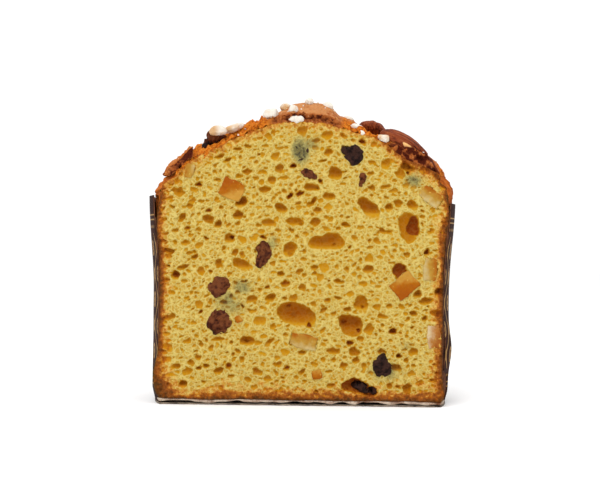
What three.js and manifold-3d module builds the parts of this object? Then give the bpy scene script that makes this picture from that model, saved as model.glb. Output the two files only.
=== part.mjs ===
// A panettone in its paper baking mould, with the front of the loaf cut away by one upright knife cut.
// Millimetres, +Z up. The origin is the mould's axis on the underside of its base, and the cut faces -Y.
import * as THREE from "three";
import { mergeVertices } from "three/addons/utils/BufferGeometryUtils.js";
import Module from "manifold-3d";

const wasm = await Module();
wasm.setup();

// ---- driving dimensions ----
const WALL_FOOT_RADIUS = 64.5; // outer face of the paper wall where it stands
const WALL_RIM_RADIUS = 66.8; // and at its rim, where the risen dough spreads it
const WALL_HEIGHT = 88.5;
const WALL_THICKNESS = 0.8;
const FLARE_START = 48; // the wall is straight up to this height, then opens towards the rim
const CUT_OFFSET = 22; // the knife's plane stands this far in front of the axis
const GAP = 0.35; // between pieces that touch
const BASE_THICKNESS = 0.8;
const LINER_THICKNESS = 1;
const DOME_RISE = 35.5; // from the rim's height to the crown, under the glaze
const DOME_POWER = 1.55; // 2 would be an ellipse; less is more pointed
const DOME_LEAN = 4.4; // the oven spring stands this much higher on the +X shoulder, and lower on the other
const GLAZE_THICKNESS = 1.6;
const GLAZE_EDGE_RADIUS = 57;
const GLAZE_BED = 0.5; // between the loaf's dome and the glaze on it
const ALMOND = { length: 24, width: 13, thickness: 8.2 };
const ROUND_STEPS = 48; // facets round the mould
const DOME_RINGS = 8; // and from the crown to the shoulder

// ---- heights and radii that follow from them ----
const LINER_FLOOR = BASE_THICKNESS + GAP;
const LOAF_FLOOR = LINER_FLOOR + LINER_THICKNESS + GAP;
const DOME_RADIUS = WALL_RIM_RADIUS - WALL_THICKNESS - GAP;
const REACH = 4 * WALL_RIM_RADIUS; // longer than the part in every direction

const wallRadius = (z) =>
  WALL_FOOT_RADIUS + (WALL_RIM_RADIUS - WALL_FOOT_RADIUS) * THREE.MathUtils.smoothstep(z, FLARE_START, WALL_HEIGHT);

// ---- materials ----
const finish = (color, roughness) => new THREE.MeshStandardMaterial({ color, roughness, metalness: 0 });
const MATERIALS = {
  crumb: finish(0xe6c45e, 0.9),
  glaze: finish(0x9a5a2c, 0.85),
  almond: finish(0x7b3a1c, 0.7),
  pearl: finish(0xf3ece2, 0.6),
  raisin: finish(0x4a2218, 0.45),
  peel: finish(0xe09a2a, 0.3),
  citron: finish(0xe8d39c, 0.35),
  paper: finish(0x3a2118, 0.8),
  liner: finish(0xcbb79b, 0.9),
};

// ---- solids and booleans ----
function toSolid(geometry) {
  const plain = geometry.clone();
  plain.deleteAttribute("normal");
  plain.deleteAttribute("uv");
  const merged = mergeVertices(plain, 1e-3);
  return new wasm.Manifold(
    new wasm.Mesh({
      numProp: 3,
      vertProperties: merged.attributes.position.array,
      triVerts: new Uint32Array(merged.index.array),
    }),
  );
}

function toGeometry(solid) {
  const mesh = solid.getMesh();
  const geometry = new THREE.BufferGeometry();
  geometry.setAttribute("position", new THREE.BufferAttribute(new Float32Array(mesh.vertProperties), 3));
  geometry.setIndex(new THREE.BufferAttribute(new Uint32Array(mesh.triVerts), 1));
  geometry.computeVertexNormals();
  return geometry;
}

const subtractAll = (solid, cutters) => cutters.reduce((left, cutter) => left.subtract(cutter), solid);

// Everything in front of the plane y = at, which the knife takes away.
function frontOf(at) {
  const block = new THREE.BoxGeometry(REACH, REACH, REACH);
  block.translate(0, at - REACH / 2, 0);
  return toSolid(block);
}

const knife = frontOf(-CUT_OFFSET);

function revolve(profile, steps = ROUND_STEPS) {
  const points = profile.map(([r, z]) => new THREE.Vector2(r, z));
  const geometry = new THREE.LatheGeometry(points, steps);
  geometry.rotateX(Math.PI / 2);
  return geometry;
}

// Moves every vertex by what move(point) does to it.
function shapeVertices(geometry, move) {
  const position = geometry.attributes.position;
  const point = new THREE.Vector3();
  for (let i = 0; i < position.count; i++) {
    point.fromBufferAttribute(position, i);
    move(point);
    position.setXYZ(i, point.x, point.y, point.z);
  }
  return geometry;
}

const named = (name, geometry, material) => {
  const mesh = new THREE.Mesh(geometry, material);
  mesh.name = name;
  return mesh;
};

// ---- the dome, as heights over the plan ----
const hump = (x, y, at, size) => Math.exp(-(((x - at[0]) / size[0]) ** 2) - ((y - at[1]) / size[1]) ** 2);

// The lean of the risen dome, with slow swells of about a millimetre in its crust.
const swell = (x, y) =>
  DOME_LEAN * (x / DOME_RADIUS) ** 3 +
  0.7 * Math.sin(x / 10 + 0.6) * Math.cos(y / 12) +
  0.4 * Math.sin((x + 2 * y) / 17);

function domeHeight(x, y) {
  const out = Math.min(Math.hypot(x, y) / DOME_RADIUS, 1);
  const rise = (1 - out ** DOME_POWER) ** (1 / DOME_POWER);
  return WALL_HEIGHT + DOME_RISE * rise + swell(x, y) * Math.min(1, 3 * rise);
}

// The blister that the glaze puffed up into, cut through by the knife.
const blister = (x, y) => 4.6 * hump(x, y, [1.4, -11], [11.5, 12]);

const glazeTop = (x, y) => domeHeight(x, y) + GLAZE_BED + GLAZE_THICKNESS + blister(x, y);

function normalOf(height, x, y) {
  const step = 1;
  const slopeX = (height(x + step, y) - height(x - step, y)) / (2 * step);
  const slopeY = (height(x, y + step) - height(x, y - step)) / (2 * step);
  return new THREE.Vector3(-slopeX, -slopeY, 1).normalize();
}

// ---- lumps: nuts, fruit and sugar ----
const wobble = (p, seed) =>
  Math.sin(3.1 * p.x + seed) * Math.sin(2.7 * p.y + 2 * seed) + 0.6 * Math.sin(5.3 * p.z + 3 * seed + 2.1 * p.x);

function lump(size, seed, { detail = 1, rough = 0.12, grow = 0 } = {}) {
  const half = size.map((s) => s / 2 + grow);
  return shapeVertices(new THREE.IcosahedronGeometry(1, detail), (p) => {
    p.normalize().multiplyScalar(1 + rough * wobble(p, seed));
    p.set(p.x * half[0], p.y * half[1], p.z * half[2]);
  });
}

// An almond along X with its point at +X, lying flat.
function almondShape(grow = 0) {
  const sphere = new THREE.SphereGeometry(1, grow > 0 ? 10 : 12, 8).rotateZ(-Math.PI / 2);
  return shapeVertices(sphere, (p) => {
    const along = p.x;
    const taper = 1 - 0.3 * along - 0.16 * along * along;
    p.x = along * (ALMOND.length / 2 + grow);
    p.y *= taper * (ALMOND.width / 2) * 1.06 + grow;
    p.z *= taper * (ALMOND.thickness / 2) * 1.06 + grow;
  });
}

// A cube of candied peel with its faces a little dished and its corners off square.
function peelShape(size, seed, grow = 0) {
  const half = size.map((s) => s / 2 + grow);
  return shapeVertices(new THREE.BoxGeometry(2, 2, 2, 2, 2, 2), (p) => {
    const faces = Math.abs(p.x) + Math.abs(p.y) + Math.abs(p.z);
    const lean = 1 + 0.07 * Math.sin(seed + 2 * p.x + 3 * p.z + p.y);
    p.multiplyScalar(faces === 1 ? 0.94 * lean : lean);
    p.set(p.x * half[0], p.y * half[1], p.z * half[2]);
  });
}

// ---- fruit in the crumb, by its place on the cut: across, up, then width, depth and height, and its lean ----
const RAISINS = [
  { at: [20.6, 106.6], size: [10.4, 8, 7.4], lean: -38 },
  { at: [2.6, 98], size: [7, 6, 4.6], lean: -32 },
  { at: [-1.4, 107.8], size: [8, 6, 10], lean: 10, behind: 1.4 },
  { at: [-16.4, 63.8], size: [7, 7, 12.2], lean: -24 },
  { at: [-34.8, 49.8], size: [11, 8, 8.2], lean: 20 },
  { at: [-34.2, 35], size: [11, 9, 11.8], lean: -20 },
  { at: [34.6, 16.6], size: [8, 8, 10.6], lean: 24 },
  { at: [25, 95.4], size: [2.6, 4, 5.4], lean: -16 },
  { at: [26.4, 9.4], size: [12, 8, 5.4], lean: -8, behind: 1 },
];
const PEELS = [
  { at: [-29.7, 91], size: [9.4, 7, 7.6], lean: -24 },
  { at: [43.6, 51.4], size: [10.4, 8, 7.8], lean: 40 },
  { at: [7, 13.4], size: [3.8, 4, 4], lean: 12 },
  { at: [-26.5, 36.3], size: [2.6, 3, 3], lean: 30 },
];
const CITRONS = [
  { at: [54.3, 58], size: [4.8, 6, 9.4], lean: -6 },
  { at: [56.2, 29.8], size: [4.6, 6, 9.8], lean: 4 },
  { at: [1.1, 27.2], size: [11, 7, 5], lean: -14 },
  { at: [54.2, 89.2], size: [9.4, 8, 5.4], lean: -36 },
  { at: [-47.8, 98.6], size: [3.4, 5, 5.8], lean: -12 },
];

const PROUD = 0.5; // the blade leaves fruit standing this far out of the crumb

// A piece of fruit that the knife went through, and the hollow that it leaves in the loaf.
function embed(name, { at, size, lean, behind = 0 }, shape, material) {
  const face = behind > 0 ? behind : -PROUD; // its cut side, from the knife's plane
  const sunk = Math.max(face, 0) + 0.12 * size[1]; // its middle, from the knife's plane
  const place = new THREE.Matrix4()
    .makeRotationY(THREE.MathUtils.degToRad(-lean))
    .setPosition(at[0], sunk - CUT_OFFSET, at[1]);
  const mesh = named(name, toGeometry(toSolid(shape(0)).subtract(frontOf(face - sunk))), material);
  mesh.applyMatrix4(place);
  const opening = shape(GAP + 0.1);
  opening.applyMatrix4(place);
  return { mesh, hollow: toSolid(opening) };
}

const fruit = [
  ...RAISINS.map((row, i) =>
    embed(`raisin_${i + 1}`, row, (grow) => lump(row.size, i + 1, { rough: 0.1, grow }), MATERIALS.raisin),
  ),
  ...PEELS.map((row, i) =>
    embed(`orange_peel_${i + 1}`, row, (grow) => peelShape(row.size, i, grow), MATERIALS.peel),
  ),
  ...CITRONS.map((row, i) =>
    embed(`citron_${i + 1}`, row, (grow) => peelShape(row.size, i + 7, grow), MATERIALS.citron),
  ),
];

// ---- toppings, by their place over the plan; turn is the heading of the long axis ----
const ALMONDS = [
  { at: [43.2, -11.6], turn: 4, roll: 16 },
  { at: [31, 9], turn: 78, roll: -12 },
  { at: [-27, 21], turn: 60, roll: 0 },
  { at: [9, 17], turn: 20, roll: 4 },
  { at: [0, 40], turn: 80, roll: 0 },
  { at: [44.5, 25.5], turn: 130, roll: 0 },
  { at: [-23, 44.5], turn: 30, roll: 6 },
  { at: [-44.5, 25], turn: 292, roll: 0 },
  { at: [24, 47], turn: 10, roll: 0 },
];
const PEARLS = [
  { at: [-36.8, -18.2], size: [6, 4.4, 4.6], turn: -30 },
  { at: [-29.6, -17.4], size: [9.6, 4, 3.4], turn: 6 },
  { at: [-13.4, -18.4], size: [7, 6, 5.2], turn: 10 },
  { at: [-7.4, -12.4], size: [4.6, 4.4, 4.2], turn: 60 },
  { at: [-4.2, -19.4], size: [4.8, 3.8, 4.2], turn: 15 },
  { at: [2.4, -12], size: [3.8, 3.8, 3.8], turn: 0 },
  { at: [10, -11.6], size: [5.8, 4, 4.4], turn: -25 },
  { at: [22.8, -18], size: [6, 3.6, 3.2], turn: 8 },
  { at: [34.2, -20.2], size: [5.4, 3, 3.6], turn: 4 },
  { at: [26.6, -20.5], size: [2.8, 2.6, 2.4], turn: 0 },
  { at: [-12, 18], size: [5, 4.6, 4], turn: 80 },
  { at: [20, 6.5], size: [4.4, 5, 4], turn: 120 },
  { at: [-39, 5], size: [5, 4, 4], turn: 160 },
  { at: [14, 33], size: [4.6, 4.4, 4.2], turn: 200 },
  { at: [-12, 32], size: [5.2, 4.4, 4], turn: 240 },
  { at: [45, 9], size: [4.4, 4.6, 3.8], turn: 280 },
];
const BAKED_RAISIN = { at: [-40.6, -12.4], size: [7, 7, 6.4], sink: 2.4 };

// A topping pressed into the glaze by sink, and the hollow that it leaves there.
function press(name, { at, turn = 0, roll = 0 }, shape, thickness, sink, material) {
  const [x, y] = at;
  const normal = normalOf(glazeTop, x, y);
  const lift = thickness / 2 - sink;
  const base = new THREE.Vector3(x, y, glazeTop(x, y)).addScaledVector(normal, lift);
  const stand = new THREE.Quaternion().setFromUnitVectors(new THREE.Vector3(0, 0, 1), normal);
  const heading = new THREE.Quaternion().setFromEuler(
    new THREE.Euler(THREE.MathUtils.degToRad(roll), 0, THREE.MathUtils.degToRad(turn), "ZYX"),
  );
  const mesh = named(name, toGeometry(toSolid(shape(0))), material);
  mesh.position.copy(base);
  mesh.quaternion.copy(stand.multiply(heading));
  mesh.updateMatrixWorld(true);
  const opening = shape(GAP + 0.1);
  opening.applyMatrix4(mesh.matrixWorld);
  return { mesh, hollow: toSolid(opening) };
}

const ALMOND_SINK = 3.6;
const PEARL_SINK = 1.2;
const toppings = [
  ...ALMONDS.map((row, i) =>
    press(`almond_${i + 1}`, row, almondShape, ALMOND.thickness, ALMOND_SINK, MATERIALS.almond),
  ),
  ...PEARLS.map((row, i) =>
    press(
      `pearl_sugar_${String(i + 1).padStart(2, "0")}`,
      row,
      (grow) => lump(row.size, i + 20, { rough: 0.08, grow }),
      row.size[2],
      PEARL_SINK,
      MATERIALS.pearl,
    ),
  ),
  press(
    "baked_raisin",
    BAKED_RAISIN,
    (grow) => lump(BAKED_RAISIN.size, 5, { rough: 0.1, grow }),
    BAKED_RAISIN.size[2],
    BAKED_RAISIN.sink,
    MATERIALS.raisin,
  ),
];
const toppingHollows = toppings.map((t) => t.hollow);

// ---- loaf: crumb and crust, baked as one ----
function makeLoaf() {
  const corner = 3;
  const side = [12, 30, FLARE_START, 60, 72, 80, WALL_HEIGHT];
  const inner = (z) => wallRadius(z) - WALL_THICKNESS - GAP;
  const profile = [
    [0, LOAF_FLOOR],
    [inner(0) - corner, LOAF_FLOOR],
    [inner(0) - 0.3 * corner, LOAF_FLOOR + 0.3 * corner],
    [inner(0), LOAF_FLOOR + corner],
    ...side.map((z) => [inner(z), z]),
  ];
  for (let i = DOME_RINGS - 1; i >= 0; i--) {
    const r = DOME_RADIUS * Math.sin((Math.PI / 2) * (i / DOME_RINGS));
    profile.push([r, domeHeight(r, 0)]);
  }
  const body = shapeVertices(revolve(profile), (p) => {
    if (p.z > WALL_HEIGHT + 0.01) p.z = domeHeight(p.x, p.y);
  });
  return subtractAll(toSolid(body), [knife, ...fruit.map((f) => f.hollow), ...toppingHollows]);
}

// ---- glaze: the sugared nut crust spread over the dome ----
function makeGlaze() {
  const ringAt = (i) => GLAZE_EDGE_RADIUS * Math.sin((Math.PI / 2) * (i / DOME_RINGS));
  const profile = [];
  for (let i = 0; i <= DOME_RINGS; i++) profile.push([ringAt(i), 0]);
  for (let i = DOME_RINGS; i >= 0; i--) profile.push([ringAt(i), 1]);
  const cap = shapeVertices(revolve(profile), (p) => {
    const heading = Math.atan2(p.y, p.x);
    const share = Math.hypot(p.x, p.y) / GLAZE_EDGE_RADIUS;
    const ragged = 1 + share ** 4 * (0.025 * Math.sin(5 * heading + 1) + 0.02 * Math.sin(11 * heading));
    p.x *= ragged;
    p.y *= ragged;
    const under = domeHeight(p.x, p.y) + GLAZE_BED;
    const thinned = 1 - 0.55 * share ** 6;
    p.z = under + p.z * (GLAZE_THICKNESS * thinned + blister(p.x, p.y));
  });
  return subtractAll(toSolid(cap), [knife, makeFlake(GAP), ...toppingHollows]);
}

// ---- flake: a plate of glaze that lifted off the left shoulder ----
const FLAKE = { inner: 51, outer: 60.6, depth: 15, thickness: 4.3 };

function makeFlake(grow = 0) {
  const plate = shapeVertices(new THREE.BoxGeometry(1, 1, 1, 5, 5, 1), (p) => {
    const out = 0.5 - p.x;
    const back = p.y + 0.5;
    const ragged = 0.7 * Math.sin(9 * back) + 0.5 * Math.sin(16 * back + 1);
    const radius = FLAKE.inner - grow + out * (FLAKE.outer - FLAKE.inner + 2 * grow + ragged);
    const y = back * (FLAKE.depth + grow) - CUT_OFFSET;
    const x = -Math.sqrt(radius * radius - y * y);
    const thickness = FLAKE.thickness * (1 - 0.35 * back * back) + 0.4 * Math.sin(7 * out + 5 * back);
    const floor = domeHeight(x, y) + GLAZE_BED;
    p.set(x, y, floor + (p.z + 0.5) * thickness + 3 * grow * p.z);
  });
  return toSolid(plate);
}

// ---- paper mould ----
function makeWall() {
  const levels = [0, 24, FLARE_START, 62, 76, WALL_HEIGHT];
  const profile = [
    ...levels.map((z) => [wallRadius(z), z]),
    ...[...levels].reverse().map((z) => [wallRadius(z) - WALL_THICKNESS, z]),
  ];
  profile.push(profile[0]);
  const ring = revolve(profile);
  shapeVertices(ring, (p) => {
    if (p.z > WALL_HEIGHT - 0.01) p.z -= 1.1 * (1 + p.x / WALL_RIM_RADIUS);
  });
  return toSolid(ring).subtract(knife);
}

function makeDisc(floor, thickness) {
  const radius = WALL_FOOT_RADIUS - WALL_THICKNESS - GAP;
  const disc = new THREE.CylinderGeometry(radius, radius, thickness, ROUND_STEPS);
  disc.rotateX(Math.PI / 2).translate(0, 0, floor + thickness / 2);
  return toSolid(disc).subtract(knife);
}

// ---- assembly ----
const mould = new THREE.Group();
mould.add(
  named("mould_wall", toGeometry(makeWall()), MATERIALS.paper),
  named("mould_base", toGeometry(makeDisc(0, BASE_THICKNESS)), MATERIALS.paper),
  named("base_liner", toGeometry(makeDisc(LINER_FLOOR, LINER_THICKNESS)), MATERIALS.liner),
);

const baked = new THREE.Group();
baked.add(
  named("loaf", toGeometry(makeLoaf()), MATERIALS.crumb),
  named("almond_glaze", toGeometry(makeGlaze()), MATERIALS.glaze),
  named("glaze_flake", toGeometry(makeFlake()), MATERIALS.glaze),
);

const panettone = new THREE.Group();
panettone.add(mould, baked, ...fruit.map((f) => f.mesh), ...toppings.map((t) => t.mesh));

export default panettone;
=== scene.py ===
"""A panettone cut open in its paper baking mould: the visible model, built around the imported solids.

Lengths are millimetres until a mesh is written, which turns them into metres. The origin is the mould's
axis on the underside of its base, +Z is up, and the flat cut faces -Y.
"""

import itertools
import logging
import math
from collections.abc import Callable, Sequence
from dataclasses import dataclass, field
from enum import Enum

import bmesh
import bpy
import numpy as np
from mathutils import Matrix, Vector
from mathutils.geometry import convex_hull_2d


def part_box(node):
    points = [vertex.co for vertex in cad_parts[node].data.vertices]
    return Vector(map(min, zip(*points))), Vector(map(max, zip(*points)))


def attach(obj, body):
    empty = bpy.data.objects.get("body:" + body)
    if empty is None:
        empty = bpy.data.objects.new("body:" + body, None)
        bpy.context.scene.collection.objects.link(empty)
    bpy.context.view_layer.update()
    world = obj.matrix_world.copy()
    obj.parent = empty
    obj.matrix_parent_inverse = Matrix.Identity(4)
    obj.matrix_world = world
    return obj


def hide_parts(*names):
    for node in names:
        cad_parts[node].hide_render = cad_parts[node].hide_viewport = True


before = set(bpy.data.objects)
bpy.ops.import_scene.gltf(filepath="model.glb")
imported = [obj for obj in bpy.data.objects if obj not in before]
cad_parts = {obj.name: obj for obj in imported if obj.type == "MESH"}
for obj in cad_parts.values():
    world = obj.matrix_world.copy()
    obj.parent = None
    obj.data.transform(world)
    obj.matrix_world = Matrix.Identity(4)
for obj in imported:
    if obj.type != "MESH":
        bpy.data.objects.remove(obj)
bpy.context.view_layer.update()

logging.basicConfig(level=logging.INFO, format="%(message)s")
LOG = logging.getLogger("panettone")

MM = 0.001
BODY = "root"
Array = np.ndarray


# ---- numbers: noise, steps and the frame's boxes ----
def cell_value(cells: Array, seed: int) -> Array:
    """Random numbers from 0 to 1, one for each cell of a grid.

    Args:
        cells: Whole-number coordinates, one row each.
        seed: Picks the set of random numbers.

    Returns:
        One number for each row.
    """
    mixed = (cells.astype(np.int64) * np.array([73856093, 19349663, 83492791])).sum(-1)
    mixed = (mixed ^ (seed * 97531)) & 0xFFFFFFFF
    for _ in range(2):
        mixed = ((mixed ^ (mixed >> 15)) * 2246822519) & 0xFFFFFFFF
        mixed = ((mixed ^ (mixed >> 13)) * 3266489917) & 0xFFFFFFFF
    return ((mixed ^ (mixed >> 16)) & 0xFFFFFF) / 0xFFFFFF


def noise(points: Array, size: float, seed: int, octaves: int = 1) -> Array:
    """Smooth random values from -1 to 1.

    Args:
        points: Positions in millimetres, with x, y and z on the last axis.
        size: How far apart the largest swells are.
        seed: Picks the pattern.
        octaves: How many halvings of the size are added.

    Returns:
        One value for each point.
    """
    total = np.zeros(points.shape[:-1])
    weights = [0.5**octave for octave in range(octaves)]
    for octave, weight in enumerate(weights):
        spot = points * (2**octave / size) + 0.37 * seed
        cell = np.floor(spot)
        part = spot - cell
        part = part * part * (3 - 2 * part)
        for corner in itertools.product((0, 1), repeat=3):
            share = np.prod(np.where(np.array(corner) == 1, part, 1 - part), axis=-1)
            total += weight * share * (2 * cell_value(cell + corner, seed + octave) - 1)
    return total / sum(weights)


def smooth_step(value: Array, low: float, high: float) -> Array:
    """0 below low, 1 above high, and a smooth rise between them; low may be the larger."""
    share = np.clip((value - low) / (high - low), 0, 1)
    return share * share * (3 - 2 * share)


def spots(x: Array, y: Array, z: Array) -> Array:
    """Joins x, y and z into points, on a new last axis."""
    return np.stack(np.broadcast_arrays(x, y, z), axis=-1).astype(float)


def rows(x: Array, y: Array, z: Array) -> Array:
    """Joins x, y and z into a list of points, one row each."""
    return spots(x, y, z).reshape(-1, 3)


def box_mm(node: str) -> tuple[Array, Array]:
    """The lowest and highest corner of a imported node, in millimetres."""
    low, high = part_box(node)
    return np.array(low) / MM, np.array(high) / MM


def node_points(node: str) -> Array:
    """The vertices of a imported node, in millimetres."""
    return mesh_arrays(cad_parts[node].data)[0]


def nodes_named(start: str) -> list[str]:
    """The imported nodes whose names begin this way, in order."""
    return sorted(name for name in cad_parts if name.startswith(start))


# ---- meshes ----
def linked(name: str, data: bpy.types.ID) -> bpy.types.Object:
    """Makes an object at the origin and links it to the scene.

    Args:
        name: The object's name.
        data: Its mesh, light or camera.

    Returns:
        The object.
    """
    made = bpy.data.objects.new(name, data)
    bpy.context.scene.collection.objects.link(made)
    return made


@dataclass
class Shell:
    """A mesh in the making: points in millimetres, faces, and values on the points."""

    points: Array
    faces: list[Array]
    values: dict[str, Array] = field(default_factory=dict)
    slots: list[int] = field(default_factory=list)

    def piece(self, name: str, finishes: Sequence[bpy.types.Material]) -> bpy.types.Object:
        """Writes the closed mesh as an object at the origin, with its faces outwards.

        Args:
            name: The object's name.
            finishes: Its materials; slots says which each group of faces has.

        Returns:
            The object, linked to the scene.
        """
        mesh = bpy.data.meshes.new(name)
        corners = np.concatenate([group.ravel() for group in self.faces])
        sides = np.concatenate([np.full(len(group), group.shape[1]) for group in self.faces])
        mesh.vertices.add(len(self.points))
        mesh.vertices.foreach_set("co", (self.points * MM).astype(np.float32).ravel())
        mesh.loops.add(len(corners))
        mesh.loops.foreach_set("vertex_index", corners.astype(np.int32))
        mesh.polygons.add(len(sides))
        mesh.polygons.foreach_set("loop_start", (np.cumsum(sides) - sides).astype(np.int32))
        for finish in finishes:
            mesh.materials.append(finish)
        if self.slots:
            chosen = np.concatenate([np.full(len(g), s) for g, s in zip(self.faces, self.slots)])
            mesh.polygons.foreach_set("material_index", chosen.astype(np.int32))
        mesh.update(calc_edges=True)
        for title, column in self.values.items():
            attribute = mesh.attributes.new(title, "FLOAT", "POINT")
            attribute.data.foreach_set("value", column.astype(np.float32))
        turn_outwards(mesh)
        mesh.polygons.foreach_set("use_smooth", np.ones(len(sides), bool))
        return linked(name, mesh)


def turn_outwards(mesh: bpy.types.Mesh) -> None:
    """Turns the faces of a closed mesh outwards.

    Args:
        mesh: The mesh.
    """
    work = bmesh.new()
    work.from_mesh(mesh)
    bmesh.ops.recalc_face_normals(work, faces=work.faces)
    work.to_mesh(mesh)
    work.free()


def grid_faces(index: Array) -> Array:
    """The four-sided faces of a grid of point numbers."""
    corners = [index[:-1, :-1], index[1:, :-1], index[1:, 1:], index[:-1, 1:]]
    return np.stack(corners, axis=-1).reshape(-1, 4)


def fan_faces(ring: Array, hub: int) -> Array:
    """Triangles from each side of an open row of point numbers to one point."""
    return np.stack([ring[:-1], ring[1:], np.full(len(ring) - 1, hub)], axis=-1)


def stitch(
    points: Array, inner: Array, outer: Array, about: tuple[float, float], axes: tuple[int, int]
) -> Array:
    """Triangles between two closed rings of points that have different counts.

    Args:
        points: All the points.
        inner: The point numbers of one ring.
        outer: The point numbers of the other ring.
        about: A point that both rings go round, on the two axes.
        axes: The two axes in which they go round it.

    Returns:
        The triangles, as rows of three point numbers.
    """
    turns = []
    for ring in (inner, outer):
        across, up = (points[ring][:, axis] - middle for axis, middle in zip(axes, about))
        angle = np.arctan2(up, across)
        order = np.argsort(angle, kind="stable")
        turns.append((ring[order], np.append(angle[order], angle[order][0] + 2 * math.pi)))
    (first, first_angle), (second, second_angle) = turns
    i = j = 0
    triangles = []
    while i < len(first) or j < len(second):
        a, b = first[i % len(first)], second[j % len(second)]
        ahead = j >= len(second) or (i < len(first) and first_angle[i + 1] <= second_angle[j + 1])
        if ahead:
            i += 1
            triangles.append((a, first[i % len(first)], b))
        else:
            j += 1
            triangles.append((a, second[j % len(second)], b))
    return np.array(triangles)


def mesh_arrays(mesh: bpy.types.Mesh) -> tuple[Array, Array]:
    """The points and the vertex normals of a mesh, in millimetres.

    Args:
        mesh: The mesh.

    Returns:
        The points, and the normals.
    """
    points = np.zeros(len(mesh.vertices) * 3, np.float32)
    normals = np.zeros(len(mesh.vertices) * 3, np.float32)
    mesh.vertices.foreach_get("co", points)
    mesh.vertex_normals.foreach_get("vector", normals)
    return points.reshape(-1, 3).astype(float) / MM, normals.reshape(-1, 3).astype(float)


def evaluated(piece: bpy.types.Object) -> bpy.types.Object:
    """Replaces an object's mesh by what its modifiers make of it, and removes them.

    Args:
        piece: The object.

    Returns:
        The same object.
    """
    graph = bpy.context.evaluated_depsgraph_get()
    graph.update()
    made = bpy.data.meshes.new_from_object(piece.evaluated_get(graph), depsgraph=graph)
    piece.modifiers.clear()
    piece.data = made
    made.name = piece.name
    return piece


class Refining(Enum):
    """How a plain solid's surface is made fine enough to be worked on."""

    SUBDIVIDE = "subdivide"
    REMESH = "remesh"


def refined(node: str, name: str, way: Refining, fineness: float, smoothing: int = 0) -> bpy.types.Object:
    """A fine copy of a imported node's solid.

    Args:
        node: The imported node.
        name: The copy's name.
        way: Subdivision rounds the solid; remeshing keeps its shape.
        fineness: The number of subdivisions, or the voxel's side in millimetres.
        smoothing: How many rounds of smoothing follow.

    Returns:
        The copy, with no modifiers.
    """
    work = bmesh.new()
    work.from_mesh(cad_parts[node].data)
    bmesh.ops.remove_doubles(work, verts=work.verts, dist=0.01 * MM)
    mesh = bpy.data.meshes.new(name)
    work.to_mesh(mesh)
    work.free()
    mesh.materials.clear()
    piece = linked(name, mesh)
    if way is Refining.SUBDIVIDE:
        modifier = piece.modifiers.new("rounding", "SUBSURF")
        modifier.levels = modifier.render_levels = int(fineness)
    else:
        modifier = piece.modifiers.new("remesh", "REMESH")
        modifier.mode = "VOXEL"
        modifier.voxel_size = fineness * MM
    if smoothing:
        soften = piece.modifiers.new("smoothing", "SMOOTH")
        soften.iterations = smoothing
        soften.factor = 0.5
    return evaluated(piece)


def reshape(
    piece: bpy.types.Object,
    move: Callable[[Array, Array], Array],
    values: dict[str, Array] | None = None,
) -> None:
    """Moves every point of a piece.

    Args:
        piece: The object whose mesh is changed.
        move: Gets the points and normals in millimetres and returns the new points.
        values: Numbers to store on the points, by name.
    """
    points, normals = mesh_arrays(piece.data)
    piece.data.vertices.foreach_set("co", (move(points, normals) * MM).astype(np.float32).ravel())
    for title, column in (values or {}).items():
        kind, entry = ("FLOAT_VECTOR", "vector") if column.ndim == 2 else ("FLOAT", "value")
        attribute = piece.data.attributes.new(title, kind, "POINT")
        attribute.data.foreach_set(entry, column.astype(np.float32).ravel())
    piece.data.polygons.foreach_set("use_smooth", np.ones(len(piece.data.polygons), bool))
    piece.data.update()


def long_axes(points: Array) -> tuple[Array, Array]:
    """The middle of some points, and their own axes as rows, the longest first.

    Args:
        points: Points, one row each, in millimetres.

    Returns:
        The middle, and the three axes.
    """
    middle = (points.min(0) + points.max(0)) / 2
    _, axes = np.linalg.eigh(np.cov((points - middle).T))
    return middle, axes.T[::-1]


def hand_over(piece: bpy.types.Object, slot: str, *replaced: str) -> None:
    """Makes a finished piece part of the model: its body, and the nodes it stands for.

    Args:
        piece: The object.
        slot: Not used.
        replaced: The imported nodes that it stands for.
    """
    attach(piece, BODY)
    if replaced:
        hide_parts(*replaced)
    piece.data.calc_loop_triangles()
    LOG.info("%-18s %6d triangles", piece.name, len(piece.data.loop_triangles))


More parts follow.
